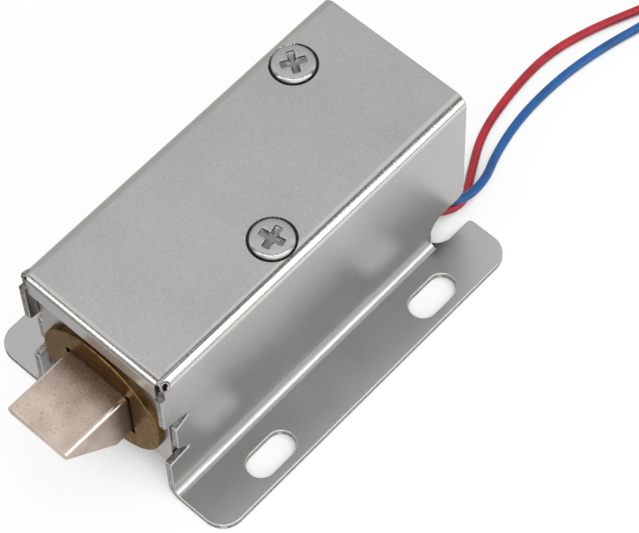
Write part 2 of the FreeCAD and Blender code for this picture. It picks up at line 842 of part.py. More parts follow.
def build_plunger():
    radius = size["plunger_diameter"] / 2
    neck = size["plunger_neck_diameter"] / 2
    neck_front = collar_back + size["plunger_neck_length"]
    body = build_turned("plunger", [
        (plunger_back, ZERO),
        (neck_front, ZERO),
        (neck_front, neck),
        (collar_back, neck),
        (collar_back, radius),
        (plunger_back + size["plunger_cone_length"], radius),
        (plunger_back, size["plunger_tip_diameter"] / 2),
    ])
    pin = new_sketch(body, "plunger_pin_outline", "XZ_Plane")
    draw_circle(pin, pin_place, ZERO, size["pin_diameter"] / 2)
    add_pocket(body, "plunger_pin_hole", pin, size["plunger_diameter"], midplane=True)


def build_cross_pin():
    pin = doc.addObject("Part::Cylinder", "cross_pin")
    pin.Label = "cross_pin"
    pin.Placement = Placement(Vector(), Rotation(ALONG_X, -90))
    length = size["bolt_width"] - size["pin_shortfall"]
    bind(pin, "Radius", size["pin_diameter"] / 2)
    bind(pin, "Height", length)
    bind(pin, "Placement.Base.x", pin_place)
    bind(pin, "Placement.Base.y", -(length / 2))
    bind(pin, "Placement.Base.z", axis_height)
    pieces.append(pin)


def build_core():
    """The fixed core: its conical recess takes the plunger's end at the end of the stroke."""
    tip = size["plunger_tip_diameter"] / 2
    slope = (size["plunger_diameter"] / 2 - tip) / size["plunger_cone_length"]
    bottom_radius = tip + size["core_recess_play"]
    rivet = size["rivet_diameter"] / 2
    head = size["rivet_head_diameter"] / 2
    head_back = frame_rear - size["rivet_head_height"]
    build_turned("core", [
        (head_back, ZERO),
        (core_recess_bottom, ZERO),
        (core_recess_bottom, bottom_radius),
        (core_rim, bottom_radius + slope * size["core_recess_depth"]),
        (core_rim, tube_inner_radius),
        (frame_inner_rear, tube_inner_radius),
        (frame_inner_rear, rivet),
        (frame_rear, rivet),
        (frame_rear, head),
        (head_back, head),
    ])


def build_return_spring():
    """A round-wire spring between the bolt's collar and the washer."""
    helix = doc.addObject("Part::Helix", "spring_helix")
    height = size["spring_space"] - size["spring_wire"] - size["spring_end_gap"] * 2
    bind(helix, "Radius", size["spring_mean_diameter"] / 2)
    bind(helix, "Height", height)
    bind(helix, "Pitch", height / size["spring_turns"])
    wire = doc.addObject("Part::Circle", "spring_section")
    wire.Placement = Placement(Vector(), Rotation(ALONG_X, 90))
    bind(wire, "Radius", size["spring_wire"] / 2)
    bind(wire, "Placement.Base.x", size["spring_mean_diameter"] / 2)
    doc.recompute()
    spring = doc.addObject("Part::Sweep", "return_spring")
    spring.Label = "return_spring"
    spring.Sections = [wire]
    spring.Spine = (helix, [])
    spring.Solid = True
    spring.Frenet = True
    spring.Placement = Placement(Vector(), Rotation(ALONG_Y, 90))
    start = washer_front + size["spring_end_gap"] + size["spring_wire"] / 2
    bind(spring, "Placement.Base.x", start)
    bind(spring, "Placement.Base.z", axis_height)
    pieces.append(spring)


# Coil: pole plate, nylon bobbin with square flanges, winding and its tape

def build_pole_plate():
    body = new_body("pole_plate")
    plate = new_sketch(body, "pole_plate_outline", "YZ_Plane", pole_back)
    wide = frame_half_width
    draw_rectangle(plate, -wide, size["pole_plate_foot"], wide, web_underside)
    add_pad(body, "pole_plate_pad", plate, size["pole_plate_thickness"])
    hole = new_sketch(body, "pole_hole_outline", "YZ_Plane", pole_front + PAST_END)
    draw_circle(hole, ZERO, axis_height, tube_outer_radius)
    add_pocket(body, "pole_hole", hole, size["pole_plate_thickness"] + PAST_END * 2)


def build_bobbin():
    body = new_body("bobbin")
    hub = new_sketch(body, "bobbin_hub_outline", "YZ_Plane", frame_inner_rear)
    draw_circle(hub, ZERO, axis_height, bobbin_radius)
    length = pole_back - frame_inner_rear
    add_pad(body, "bobbin_hub", hub, length)
    wide = frame_half_width - size["bobbin_side_gap"]
    foot, top = size["bobbin_foot"], web_underside - size["bobbin_top_gap"]
    for label, place in (("front", winding_front), ("rear", frame_inner_rear)):
        flange = new_sketch(body, f"bobbin_{label}_outline", "YZ_Plane", place)
        draw_rectangle(flange, -wide, foot, wide, top)
        pad = add_pad(body, f"bobbin_{label}_flange", flange, size["bobbin_flange"])
        middle = place + size["bobbin_flange"] / 2
        edges = []
        for y in (wide, -wide):
            edges += straight_edges(pad, ALONG_X, x=middle, y=y, z=foot)
        radius = size["bobbin_corner_radius"]
        add_fillet(body, f"bobbin_{label}_corners", pad, edges, radius)
    hole = new_sketch(body, "bobbin_bore_outline", "YZ_Plane", pole_back + PAST_END)
    draw_circle(hole, ZERO, axis_height, tube_outer_radius)
    add_pocket(body, "bobbin_bore", hole, length + PAST_END * 2)


# Leads: a sleeve over each solder joint, the lead itself, and its spare length in a coil

def root(amount):
    return Size(math.sqrt(amount.value), f"sqrt({amount.formula})")


def build_joint_sleeve(colour, offset, start):
    """A shrunk sleeve that lies against the coil's tape, open where the lead enters."""
    radius = size["joint_sleeve_diameter"] / 2
    apart = tape_radius + radius + size["joint_sleeve_gap"]
    drop = root(apart * apart - offset * offset)
    body = new_body(f"{colour}_joint_sleeve", axis_height - drop)
    bind(body, "Placement.Base.y", offset)
    lead = size["lead_diameter"] / 2
    mouth = Size(start) - size["joint_sleeve_cover"]
    profile = new_sketch(body, f"{colour}_sleeve_profile", "XZ_Plane")
    draw_polygon(profile, [
        (mouth + size["joint_sleeve_length"], ZERO),
        (mouth + size["joint_sleeve_length"], radius),
        (mouth, radius),
        (mouth, lead),
        (Size(start), lead),
        (Size(start), ZERO),
    ])
    add_revolution(body, f"{colour}_sleeve_turned", profile, "X_Axis")


def rounded_route(label, points):
    """Straight runs joined by the largest tangent arcs that they allow."""
    points = [Vector(*point) for point in points]
    edges = []
    radii = []
    start = points[0]
    for before, corner, after in zip(points, points[1:], points[2:]):
        incoming = (corner - before).normalize()
        outgoing = (after - corner).normalize()
        turn = incoming.getAngle(outgoing)
        cut = ARC_SHARE * min((corner - before).Length, (after - corner).Length)
        radius = cut / math.tan(turn / 2)
        arc_start = corner - incoming * cut
        arc_end = corner + outgoing * cut
        inward = (outgoing - incoming).normalize()
        centre = corner + inward * (radius / math.cos(turn / 2))
        middle = centre - inward * radius
        edges.append(Part.LineSegment(start, arc_start).toShape())
        edges.append(Part.Arc(arc_start, middle, arc_end).toShape())
        start = arc_end
        radii.append(round(radius, 1))
    edges.append(Part.LineSegment(start, points[-1]).toShape())
    wire = Part.Wire(edges)
    print(label, "bend radii", radii, "length", round(wire.Length, 1))
    return wire


def build_lead(colour, points):
    """The lead's tube, swept along its route."""
    route = rounded_route(f"{colour} lead", points)
    first = Vector(*points[0])
    along = (Vector(*points[1]) - first).normalize()
    radius = size["lead_diameter"].value / 2
    section = Part.Wire(Part.Circle(first, along, radius).toShape())
    tube = route.makePipeShell([section], True, True)
    expected = math.pi * radius ** 2 * route.Length
    print(colour, "lead volume over section times length", round(tube.Volume / expected, 4))
    lead = doc.addObject("Part::Feature", f"{colour}_lead")
    lead.Label = f"{colour}_lead"
    lead.Shape = tube
    pieces.append(lead)


def build_lead_coil(colour, points, side):
    """The coil of spare lead, its tie and the stripped end, just past the lead's last point.

    The coil turns to the left of the lead's direction where side is 1, to the right where
    it is -1.
    """
    last = Vector(*points[-1])
    along = last - Vector(*points[-2])
    along.z = 0
    along.normalize()
    towards = Vector(-along.y, along.x, 0) * side
    wire = size["lead_diameter"]
    mean = size["lead_coil_radius"]
    tie = size["tie_thickness"]
    place = last + towards * (mean + wire / 2).value

    body = new_body(f"{colour}_lead_coil", ZERO)
    body.Placement = Placement(Vector(place.x, place.y, 0), Rotation())
    profile = new_sketch(body, f"{colour}_coil_profile", "XZ_Plane")
    draw_rectangle(profile, mean - wire, tie, mean + wire, tie + wire * 2)
    add_revolution(body, f"{colour}_coil_turned", profile, "Z_Axis")

    build_tie(colour, place, towards)
    build_tinned_end(colour, last, along)


def build_tie(colour, place, outward):
    """A strap round all the coil's turns, on the far side from where the lead comes in."""
    wire, mean = size["lead_diameter"], size["lead_coil_radius"]
    tie, play = size["tie_thickness"], size["tie_play"]
    turn = math.degrees(math.atan2(outward.y, outward.x))
    boxes = []
    for name, grow in (("strap", tie), ("gap", ZERO)):
        box = doc.addObject("Part::Box", f"{colour}_tie_{name}")
        bind(box, "Length", (wire + play + grow) * 2)
        bind(box, "Width", size["tie_width"])
        bind(box, "Height", wire * 2 + play + grow * 2)
        bind(box, "Placement.Base.x", mean - wire - play - grow)
        bind(box, "Placement.Base.y", -(size["tie_width"] / 2))
        bind(box, "Placement.Base.z", tie - grow)
        boxes.append(box)
    strap = doc.addObject("Part::Cut", f"{colour}_coil_tie")
    strap.Label = f"{colour}_coil_tie"
    strap.Base, strap.Tool = boxes
    strap.Placement = Placement(Vector(place.x, place.y, 0), Rotation(ALONG_Z, turn))
    pieces.append(strap)


def build_tinned_end(colour, last, along):
    """The stripped and tinned end, which slopes from the coil's upper turn to the bench."""
    wire = size["lead_diameter"].value
    start = last + along * (wire + size["tinned_diameter"].value / 2 + size["tinned_end_gap"].value)
    start.z = size["tie_thickness"].value + wire + wire / 2
    floor = size["tinned_diameter"].value / 2 + size["bench_gap"].value
    fall = (start.z - floor) / size["tinned_length"].value
    direction = along - Vector(0, 0, fall)
    end = doc.addObject("Part::Cylinder", f"{colour}_tinned_end")
    end.Label = f"{colour}_tinned_end"
    bind(end, "Radius", size["tinned_diameter"] / 2)
    bind(end, "Height", size["tinned_length"])
    end.Placement = Placement(start, Rotation(ALONG_Z, direction))
    pieces.append(end)


def check_and_export():
    """Stop on any failed object or bad shape, then write one file for each piece."""
    doc.recompute()
    for item in doc.Objects:
        if "Invalid" in item.State or "Error" in item.State:
            raise RuntimeError(f"{item.Name} failed: {item.State}")
    for piece in pieces:
        if piece.Shape.isNull() or not piece.Shape.isValid() or not piece.Shape.Solids:
            raise RuntimeError(f"{piece.Label} has no valid solid")
    os.makedirs("parts", exist_ok=True)
    for piece in pieces:
        piece.Shape.exportStep(f"parts/{piece.Label}.step")
        print(piece.Label, len(piece.Shape.Solids), round(piece.Shape.Volume, 2))


build_case()
for screw_label, screw_place, screw_side in screw_places():
    screw_turn = size[f"{screw_label}_cross_turn"]
    build_cover_screw(screw_label, screw_place, screw_side, screw_turn)
build_frame()
build_guide_bush()
build_bolt()
build_plunger()
build_cross_pin()
build_core()
build_ring("spring_washer", pole_front, washer_front, size["washer_bore"] / 2,
           size["washer_diameter"] / 2)
build_return_spring()
build_pole_plate()
build_ring("guide_tube", frame_inner_rear, pole_front, tube_inner_radius, tube_outer_radius)
build_bobbin()
build_ring("winding", winding_back, winding_front, bobbin_radius, winding_radius)
build_ring("coil_tape", winding_back, winding_front, winding_radius, tape_radius)
for lead_colour, lead_route, lead_offset, coil_side in (
    ("red", RED_ROUTE, size["red_sleeve_offset"], 1),
    ("blue", BLUE_ROUTE, size["blue_sleeve_offset"], -1),
):
    build_joint_sleeve(lead_colour, lead_offset, lead_route[0][0])
    build_lead(lead_colour, lead_route)
    build_lead_coil(lead_colour, lead_route, coil_side)
check_and_export()
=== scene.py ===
# %% [markdown]
# # A solenoid lock on a white bench
# The lock is a folded steel case with a magnet coil inside, and a bolt that the coil pulls in
# against a spring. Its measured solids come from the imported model, so every piece here starts
# at its true size and place. This lesson adds what the eye needs: worn edges, plated and
# moulded finishes, wound wire and soft studio light. The camera and the two leads come
# first, because everything else is judged through that camera.

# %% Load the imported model
import json
import math
import bpy
from mathutils import Matrix, Vector

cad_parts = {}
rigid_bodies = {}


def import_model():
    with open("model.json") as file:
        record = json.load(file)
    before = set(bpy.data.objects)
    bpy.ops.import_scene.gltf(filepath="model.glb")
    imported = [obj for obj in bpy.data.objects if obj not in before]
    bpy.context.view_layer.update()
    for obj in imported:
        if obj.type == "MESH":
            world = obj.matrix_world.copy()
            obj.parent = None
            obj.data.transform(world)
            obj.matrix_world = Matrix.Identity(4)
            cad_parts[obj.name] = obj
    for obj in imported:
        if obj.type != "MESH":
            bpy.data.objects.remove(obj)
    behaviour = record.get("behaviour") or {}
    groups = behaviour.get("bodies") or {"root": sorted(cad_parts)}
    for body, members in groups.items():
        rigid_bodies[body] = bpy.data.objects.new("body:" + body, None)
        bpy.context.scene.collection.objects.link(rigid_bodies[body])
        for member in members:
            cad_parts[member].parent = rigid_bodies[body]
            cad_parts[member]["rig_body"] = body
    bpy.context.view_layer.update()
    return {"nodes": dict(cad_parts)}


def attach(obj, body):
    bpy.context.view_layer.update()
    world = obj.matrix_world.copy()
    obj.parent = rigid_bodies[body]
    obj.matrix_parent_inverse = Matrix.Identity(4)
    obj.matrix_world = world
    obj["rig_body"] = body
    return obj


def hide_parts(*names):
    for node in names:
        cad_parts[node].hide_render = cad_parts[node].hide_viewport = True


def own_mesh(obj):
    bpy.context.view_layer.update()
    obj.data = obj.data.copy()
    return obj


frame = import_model()
MM = 0.001

# %% [markdown]
# ## Camera
# A small product is photographed from about a third of a metre away with a long lens, which
# keeps its edges nearly parallel. The place and the turn below were solved from corners of
# the case whose real sizes are known, so the three directions are written as a turn matrix.

# %% Camera
camera_data = bpy.data.cameras.new("studio_camera")
camera_data.lens = 157.3
camera_data.sensor_width = 36.0
camera_data.clip_start = 0.01
camera = bpy.data.objects.new("studio_camera", camera_data)
bpy.context.scene.collection.objects.link(camera)
camera.matrix_world = Matrix((
    (-0.6754, -0.6451, 0.3573, 0.118708),
    (0.7370, -0.5743, 0.3563, 0.130209),
    (-0.0247, 0.5040, 0.8634, 0.308731),
    (0.0, 0.0, 0.0, 1.0),
))
bpy.context.scene.camera = camera
print("camera stands", round(camera.location.length, 3), "m from the lock's middle")

# %% [markdown]
# ## Leads
# Two thin insulated wires leave the coil, pass through the cut-out at the rear and lie on the
# bench. A wire is limp and smooth, so each is one NURBS curve with few points, which bends
# gently all the way. The spare length is wound in a small coil past the edge of the view, as
# in a box, and its turns are more points of the same curve.

# %% Routes of the leads, in millimetres
RED_ROUTE = [
    (-9.6, 3.2, 2.87), (-15.0, 3.2, 2.87), (-22.4, 7.4, 1.3), (-27.5, 11.1, 0.7),
    (-32.6, 8.1, 0.6), (-37.8, 5.3, 0.6), (-44.6, 4.0, 0.6), (-52.6, 3.5, 0.6),
    (-59.8, 5.2, 0.6), (-67.8, 8.5, 0.6), (-74.2, 10.5, 0.9),
]
BLUE_ROUTE = [
    (-9.6, 0.6, 2.37), (-15.0, 0.6, 2.37), (-22.0, 4.6, 1.6), (-27.2, 10.7, 1.9),
    (-32.0, 10.9, 1.8), (-36.6, 8.8, 0.7), (-43.2, 7.4, 0.6), (-51.2, 7.3, 0.6),
    (-58.8, 8.4, 0.6), (-66.2, 10.4, 0.6), (-72.7, 12.3, 0.9),
]
WIRE = 1.2
print("points in the routes", len(RED_ROUTE), len(BLUE_ROUTE))

# %% Track of the spare coil
# Angle in degrees, radius and height in millimetres: two turns lie on the bench and wind
# inwards, then two more lie on them and wind outwards.
COIL_TRACK = [
    (0, 7.2, 0.9), (720, 4.74, 0.9), (780, 5.0, 2.1), (900, 5.4, 2.1), (1080, 5.4, 2.1),
    (1110, 5.95, 2.1), (1140, 6.25, 2.1), (1260, 6.6, 2.1), (1440, 6.6, 2.1),
]
TOP_RADIUS, TOP_HEIGHT = COIL_TRACK[-1][1:]
END_RUN = 1.9  # the stripped end stands out of the last turn by this much
STEP = 20
INSIDE_SHARE = 0.985  # a quadratic spline runs this much inside points set 20 degrees apart


def track_at(angle):
    """Radius and height of the track at an angle, between the stops before and after it."""
    for (start, radius, height), (end, next_radius, next_height) in zip(COIL_TRACK, COIL_TRACK[1:]):
        if start <= angle <= end:
            share = (angle - start) / (end - start)
            return radius + (next_radius - radius) * share, height + (next_height - height) * share


print("turns in each coil", COIL_TRACK[-1][0] / 360, "points", COIL_TRACK[-1][0] // STEP)


# %% Points of one lead, from its joint to its stripped end
def lead_points(route, side):
    """The coil turns left of the lead's direction where side is 1, and right where it is -1."""
    last, before = Vector(route[-1]), Vector(route[-2])
    along = Vector((last.x - before.x, last.y - before.y, 0)).normalized()
    towards = Vector((-along.y, along.x, 0)) * side
    centre = Vector((last.x, last.y, 0)) + towards * TOP_RADIUS
    points = [Vector(point) for point in route[:-1]]
    for angle in range(0, COIL_TRACK[-1][0] + 1, STEP):
        radius, height = track_at(angle)
        turn = math.radians(angle)
        spoke = along * math.sin(turn) - towards * math.cos(turn)
        points.append(centre + spoke * (radius / INSIDE_SHARE) + Vector((0, 0, height)))
    points[-1] = centre - towards * TOP_RADIUS + Vector((0, 0, TOP_HEIGHT))
    points.append(centre - towards * TOP_RADIUS + along * END_RUN + Vector((0, 0, TOP_HEIGHT)))
    return points


lead_shapes = {"red": lead_points(RED_ROUTE, 1), "blue": lead_points(BLUE_ROUTE, -1)}
print({colour: len(points) for colour, points in lead_shapes.items()})


# %% The two leads as curves
def make_lead(colour):
    curve = bpy.data.curves.new(f"{colour}_wire", "CURVE")
    curve.dimensions = "3D"
    curve.bevel_depth = 1.0  # the radius of each point below gives the wire's own
    curve.bevel_resolution = 5
    curve.resolution_u = 8
    curve.use_fill_caps = True
    spline = curve.splines.new("NURBS")
    points = lead_shapes[colour]
    spline.points.add(len(points) - 1)
    for place, point in zip(spline.points, points):
        place.co = (*(point * MM), 1.0)
        place.radius = WIRE / 2 * MM
    spline.order_u = 3
    spline.use_endpoint_u = True
    lead = bpy.data.objects.new(f"{colour}_wire", curve)
    bpy.context.scene.collection.objects.link(lead)
    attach(lead, "lock_body")
    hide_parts(f"{colour}_lead", f"{colour}_lead_coil")
    return lead


leads = {colour: make_lead(colour) for colour in lead_shapes}
print("leads", sorted(leads))

# %% [markdown]
# ## Helpers for finishes
# A finish is a small tree of shader nodes. One helper adds a node and wires it up, so the
# cells below read as lists of what each finish is made of. Colours are written as the hex
# values seen on screen and turned to the linear light that the shaders work with. An input
# is called by its name, or by its number where several inputs share a name.

# %% Helpers for finishes


def colour_of(hex_value):
    """Linear colour of a screen colour such as #B0AFAE."""
    parts = [int(hex_value[start:start + 2], 16) / 255 for start in (1, 3, 5)]
    linear = [p / 12.92 if p <= 0.04045 else ((p + 0.055) / 1.055) ** 2.4 for p in parts]
    return (*linear, 1.0)


def add_node(tree, kind, settings=(), links=()):
    """Add one node, set its properties or inputs, and link its inputs to other sockets."""
    new = tree.nodes.new(f"ShaderNode{kind}")
    for name, value in dict(settings).items():
        if isinstance(name, int) or name in new.inputs:
            new.inputs[name].default_value = value
        else:
            setattr(new, name, value)
    for name, socket in dict(links).items():
        tree.links.new(socket, new.inputs[name])
    return new


def start_finish(name, settings):
    """A new material with one Principled shader, and the Object coordinates to draw on it."""
    finish = bpy.data.materials.new(name)
    finish.use_nodes = True
    tree = finish.node_tree
    tree.nodes.clear()
    shader = add_node(tree, "BsdfPrincipled", settings)
    add_node(tree, "OutputMaterial", links={"Surface": shader.outputs["BSDF"]})
    place = add_node(tree, "TexCoord").outputs["Object"]
    return finish, tree, shader, place


def per_metre(size_mm):
    """Scale of a pattern whose cells are this many millimetres across."""
    return 1.0 / (size_mm * MM)


# Inputs of a Map Range node: the range that it reads and the range that it gives.
FROM_LOW, FROM_HIGH, TO_LOW, TO_HIGH = 1, 2, 3, 4
print("a 0.5 mm grain has scale", per_metre(0.5))

# %% [markdown]
# ## Nickel-plated sheet
# The case is cold-rolled steel, folded and then plated with satin nickel in a barrel. The
# eye sees a grey mirror that is blurred by a very fine grain, and slightly cloudy where the
# plating varies. So a fine noise of 0.2 mm gives the metal its bump and its light and dark
# specks, coarser than the real grain so that it shows, and a cloud of 12 mm stirs its colour
# and roughness.

# %% Nickel-plated sheet
nickel_sheet, tree, shader, place = start_finish("satin_nickel_plated_steel_sheet", {
    "Base Color": colour_of("#B9B6B1"), "Metallic": 1.0, "Roughness": 0.38,
})
cloud = add_node(tree, "TexNoise", {"Scale": per_metre(12.0), "Detail": 3.0}, {"Vector": place})
grain = add_node(tree, "TexNoise", {"Scale": per_metre(0.2), "Detail": 3.0}, {"Vector": place})
tint = add_node(tree, "ValToRGB", links={"Fac": cloud.outputs["Fac"]})
tint.color_ramp.elements[0].position = 0.3
tint.color_ramp.elements[0].color = colour_of("#B2B1AF")
tint.color_ramp.elements[1].position = 0.75
tint.color_ramp.elements[1].color = colour_of("#BBBAB8")
speck = add_node(tree, "MapRange", {
    FROM_LOW: 0.25, FROM_HIGH: 0.75, TO_LOW: 0.88, TO_HIGH: 1.1,
}, {"Value": grain.outputs["Fac"]})
speckled = add_node(tree, "VectorMath", {"operation": "SCALE"}, {
    0: tint.outputs["Color"], "Scale": speck.outputs["Result"],
})
tree.links.new(speckled.outputs["Vector"], shader.inputs["Base Color"])
blur = add_node(tree, "MapRange", {
    FROM_LOW: 0.3, FROM_HIGH: 0.7, TO_LOW: 0.27, TO_HIGH: 0.32,
}, {"Value": cloud.outputs["Fac"]})
tree.links.new(blur.outputs["Result"], shader.inputs["Roughness"])
relief = add_node(
    tree, "Bump", {"Strength": 0.35, "Distance": 0.00003}, {"Height": grain.outputs["Fac"]}
)
tree.links.new(relief.outputs["Normal"], shader.inputs["Normal"])
print(nickel_sheet.name)

# %% Frame strip: soft iron, zinc plated, duller than the case
frame_steel, tree, shader, place = start_finish("zinc_plated_magnetic_iron", {
    "Base Color": colour_of("#A8A7A4"), "Metallic": 1.0, "Roughness": 0.38,
})
grain = add_node(tree, "TexNoise", {"Scale": per_metre(0.5), "Detail": 4.0}, {"Vector": place})
relief = add_node(
    tree, "Bump", {"Strength": 0.2, "Distance": 0.00003}, {"Height": grain.outputs["Fac"]}
)
tree.links.new(relief.outputs["Normal"], shader.inputs["Normal"])
print(frame_steel.name)

# %% [markdown]
# ## Bright screws and turned steel
# The screws are cold-headed, the plunger and the core are turned, and all are plated. They
# shine more than the sheet. Rubbing leaves scuffs on a screw's head, and turning leaves fine
# rings along a turned part.

# %% Screws and turned parts
screw_steel, tree, shader, place = start_finish("bright_nickel_plated_screw", {
    "Base Color": colour_of("#B3B3B4"), "Metallic": 1.0, "Roughness": 0.24,
})
wear = add_node(tree, "TexNoise", {"Scale": per_metre(1.2), "Detail": 5.0}, {"Vector": place})
blur = add_node(tree, "MapRange", {
    FROM_LOW: 0.3, FROM_HIGH: 0.7, TO_LOW: 0.14, TO_HIGH: 0.34,
}, {"Value": wear.outputs["Fac"]})
tree.links.new(blur.outputs["Result"], shader.inputs["Roughness"])
scuff = add_node(tree, "TexNoise", {"Scale": per_metre(0.35), "Detail": 4.0}, {"Vector": place})
relief = add_node(
    tree, "Bump", {"Strength": 0.6, "Distance": 0.00005}, {"Height": scuff.outputs["Fac"]}
)
tree.links.new(relief.outputs["Normal"], shader.inputs["Normal"])

# The driver has scraped the plating inside the recess, so it is duller than the head.
driven_steel, tree, shader, place = start_finish("scraped_screw_recess", {
    "Base Color": colour_of("#8C8B8A"), "Metallic": 1.0, "Roughness": 0.34,
})
scrape = add_node(tree, "TexNoise", {"Scale": per_metre(0.3), "Detail": 4.0}, {"Vector": place})
relief = add_node(
    tree, "Bump", {"Strength": 0.8, "Distance": 0.00006}, {"Height": scrape.outputs["Fac"]}
)
tree.links.new(relief.outputs["Normal"], shader.inputs["Normal"])

turned_steel, tree, shader, place = start_finish("turned_and_plated_steel", {
    "Base Color": colour_of("#B4B3B1"), "Metallic": 1.0, "Roughness": 0.26,
})
rings = add_node(tree, "TexWave", {
    "Scale": per_metre(0.8), "Distortion": 0.6, "Detail": 2.0, "bands_direction": "X",
}, {"Vector": place})
relief = add_node(
    tree, "Bump", {"Strength": 0.15, "Distance": 0.00002}, {"Height": rings.outputs["Fac"]}
)
tree.links.new(relief.outputs["Normal"], shader.inputs["Normal"])

spring_steel, tree, shader, place = start_finish("drawn_spring_wire", {
    "Base Color": colour_of("#9A9894"), "Metallic": 1.0, "Roughness": 0.3,
})
streak = add_node(tree, "TexNoise", {"Scale": per_metre(0.6), "Detail": 3.0}, {"Vector": place})
blur = add_node(tree, "MapRange", {TO_LOW: 0.22, TO_HIGH: 0.42}, {"Value": streak.outputs["Fac"]})
tree.links.new(blur.outputs["Result"], shader.inputs["Roughness"])
print(screw_steel.name, driven_steel.name, turned_steel.name, spring_steel.name)

# %% [markdown]
# ## Sintered bolt and tarnished brass
# The bolt is pressed from metal powder and sintered, then plated: its surface keeps fine
# pores, so it looks matt and slightly pink beside the case. Its pores are darker and its colour
# browner towards the bush, and the rounded edges are polished. The bush is brass that has gone brown
# in patches.

# %% Bolt and bush
sintered, tree, shader, place = start_finish("sintered_and_plated_bolt", {
    "Base Color": colour_of("#B5A69B"), "Metallic": 1.0, "Roughness": 0.42,
})
cloud = add_node(tree, "TexNoise", {"Scale": per_metre(4.0), "Detail": 5.0}, {"Vector": place})
tint = add_node(tree, "ValToRGB", links={"Fac": cloud.outputs["Fac"]})
tint.color_ramp.elements[0].position = 0.3
tint.color_ramp.elements[0].color = colour_of("#B9A79A")
tint.color_ramp.elements[1].position = 0.7
tint.color_ramp.elements[1].color = colour_of("#DCCBBE")
pores = add_node(tree, "TexNoise", {"Scale": per_metre(0.22), "Detail": 6.0}, {"Vector": place})
outward = add_node(tree, "SeparateXYZ", links={0: place}).outputs["X"]
# Towards the bush the pores are drawn darker.
pits_near_bush = add_node(tree, "MapRange", {
    FROM_LOW: 0.0262, FROM_HIGH: 0.0295, TO_LOW: 0.56, TO_HIGH: 0.41,
}, {"Value": outward})
pit = add_node(tree, "MapRange", {FROM_LOW: 0.28, TO_LOW: 0.5, TO_HIGH: 1.0}, {
    "Value": pores.outputs["Fac"], FROM_HIGH: pits_near_bush.outputs["Result"],
})
pitted = add_node(tree, "VectorMath", {"operation": "SCALE"}, {
    0: tint.outputs["Color"], "Scale": pit.outputs["Result"],
})
# The colour is darkened to brown towards the bush, and the darkening ends 3 mm past the case.
toward_bush = add_node(tree, "MapRange", {FROM_LOW: 0.0276, FROM_HIGH: 0.0298}, {"Value": outward})
bush_darkening = add_node(tree, "ValToRGB", links={"Fac": toward_bush.outputs["Result"]})
bush_darkening.color_ramp.elements[0].color = (0.50, 0.42, 0.37, 1.0)
darkened_near_bush = add_node(tree, "VectorMath", {"operation": "MULTIPLY"}, {
    0: pitted.outputs["Vector"], 1: bush_darkening.outputs["Color"],
})
tree.links.new(darkened_near_bush.outputs["Vector"], shader.inputs["Base Color"])
relief = add_node(
    tree, "Bump", {"Strength": 0.5, "Distance": 0.00005}, {"Height": pores.outputs["Fac"]}
)
tree.links.new(relief.outputs["Normal"], shader.inputs["Normal"])

# The die leaves no pores on the bolt's rounded edges, and sliding polishes them.
polished_edge, tree, shader, place = start_finish("polished_bolt_edge", {
    "Base Color": colour_of("#DDD0C6"), "Metallic": 1.0, "Roughness": 0.14,
})
rub = add_node(tree, "TexNoise", {"Scale": per_metre(0.5), "Detail": 3.0}, {"Vector": place})
blur = add_node(tree, "MapRange", {
    FROM_LOW: 0.3, FROM_HIGH: 0.7, TO_LOW: 0.1, TO_HIGH: 0.24,
}, {"Value": rub.outputs["Fac"]})
tree.links.new(blur.outputs["Result"], shader.inputs["Roughness"])

# Brown oxide doesn't whiten at a glancing angle as clean brass does, so its edge tint is low.
brass, tree, shader, place = start_finish("tarnished_brass", {
    "Base Color": colour_of("#A8845A"), "Metallic": 1.0, "Roughness": 0.36,
    "Specular Tint": (0.66, 0.62, 0.58, 1.0),
})
stain = add_node(tree, "TexNoise", {"Scale": per_metre(1.1), "Detail": 6.0}, {"Vector": place})
tint = add_node(tree, "ValToRGB", links={"Fac": stain.outputs["Fac"]})
tint.color_ramp.elements[0].position = 0.35
tint.color_ramp.elements[0].color = colour_of("#695234")
tint.color_ramp.elements[1].position = 0.66
tint.color_ramp.elements[1].color = colour_of("#846740")
tree.links.new(tint.outputs["Color"], shader.inputs["Base Color"])
blur = add_node(tree, "MapRange", {TO_LOW: 0.42, TO_HIGH: 0.28}, {"Value": stain.outputs["Fac"]})
tree.links.new(blur.outputs["Result"], shader.inputs["Roughness"])
print(sintered.name, polished_edge.name, brass.name)

# %% [markdown]
# ## Coil and leads
# The bobbin is moulded nylon, the winding is copper wire in clear red-brown enamel, and it is
# wrapped in yellowish polyester tape. The leads have PVC insulation, which is smooth and a
# little soft, so its highlights are wide. Black shrunk sleeves cover the solder joints.

# %% Plastics
nylon, tree, shader, place = start_finish("moulded_black_nylon", {
    "Base Color": colour_of("#2B2B2C"), "Roughness": 0.42, "IOR": 1.53,
})
flow = add_node(tree, "TexNoise", {"Scale": per_metre(1.5), "Detail": 3.0}, {"Vector": place})
blur = add_node(tree, "MapRange", {TO_LOW: 0.34, TO_HIGH: 0.52}, {"Value": flow.outputs["Fac"]})
tree.links.new(blur.outputs["Result"], shader.inputs["Roughness"])

copper, tree, shader, place = start_finish("enamelled_copper_wire", {
    "Base Color": colour_of("#B4623A"), "Metallic": 1.0, "Roughness": 0.25,
    "Coat Weight": 0.6, "Coat Roughness": 0.1,
})
turns = add_node(tree, "TexWave", {"Scale": per_metre(0.6), "bands_direction": "X"}, {"Vector": place})
relief = add_node(
    tree, "Bump", {"Strength": 0.6, "Distance": 0.00008}, {"Height": turns.outputs["Fac"]}
)
tree.links.new(relief.outputs["Normal"], shader.inputs["Normal"])

tape, tree, shader, place = start_finish("polyester_winding_tape", {
    "Base Color": colour_of("#C9A94A"), "Roughness": 0.3, "IOR": 1.6,
})
wrinkle = add_node(tree, "TexNoise", {"Scale": per_metre(2.5), "Detail": 4.0}, {"Vector": place})
relief = add_node(
    tree, "Bump", {"Strength": 0.3, "Distance": 0.0001}, {"Height": wrinkle.outputs["Fac"]}
)
tree.links.new(relief.outputs["Normal"], shader.inputs["Normal"])

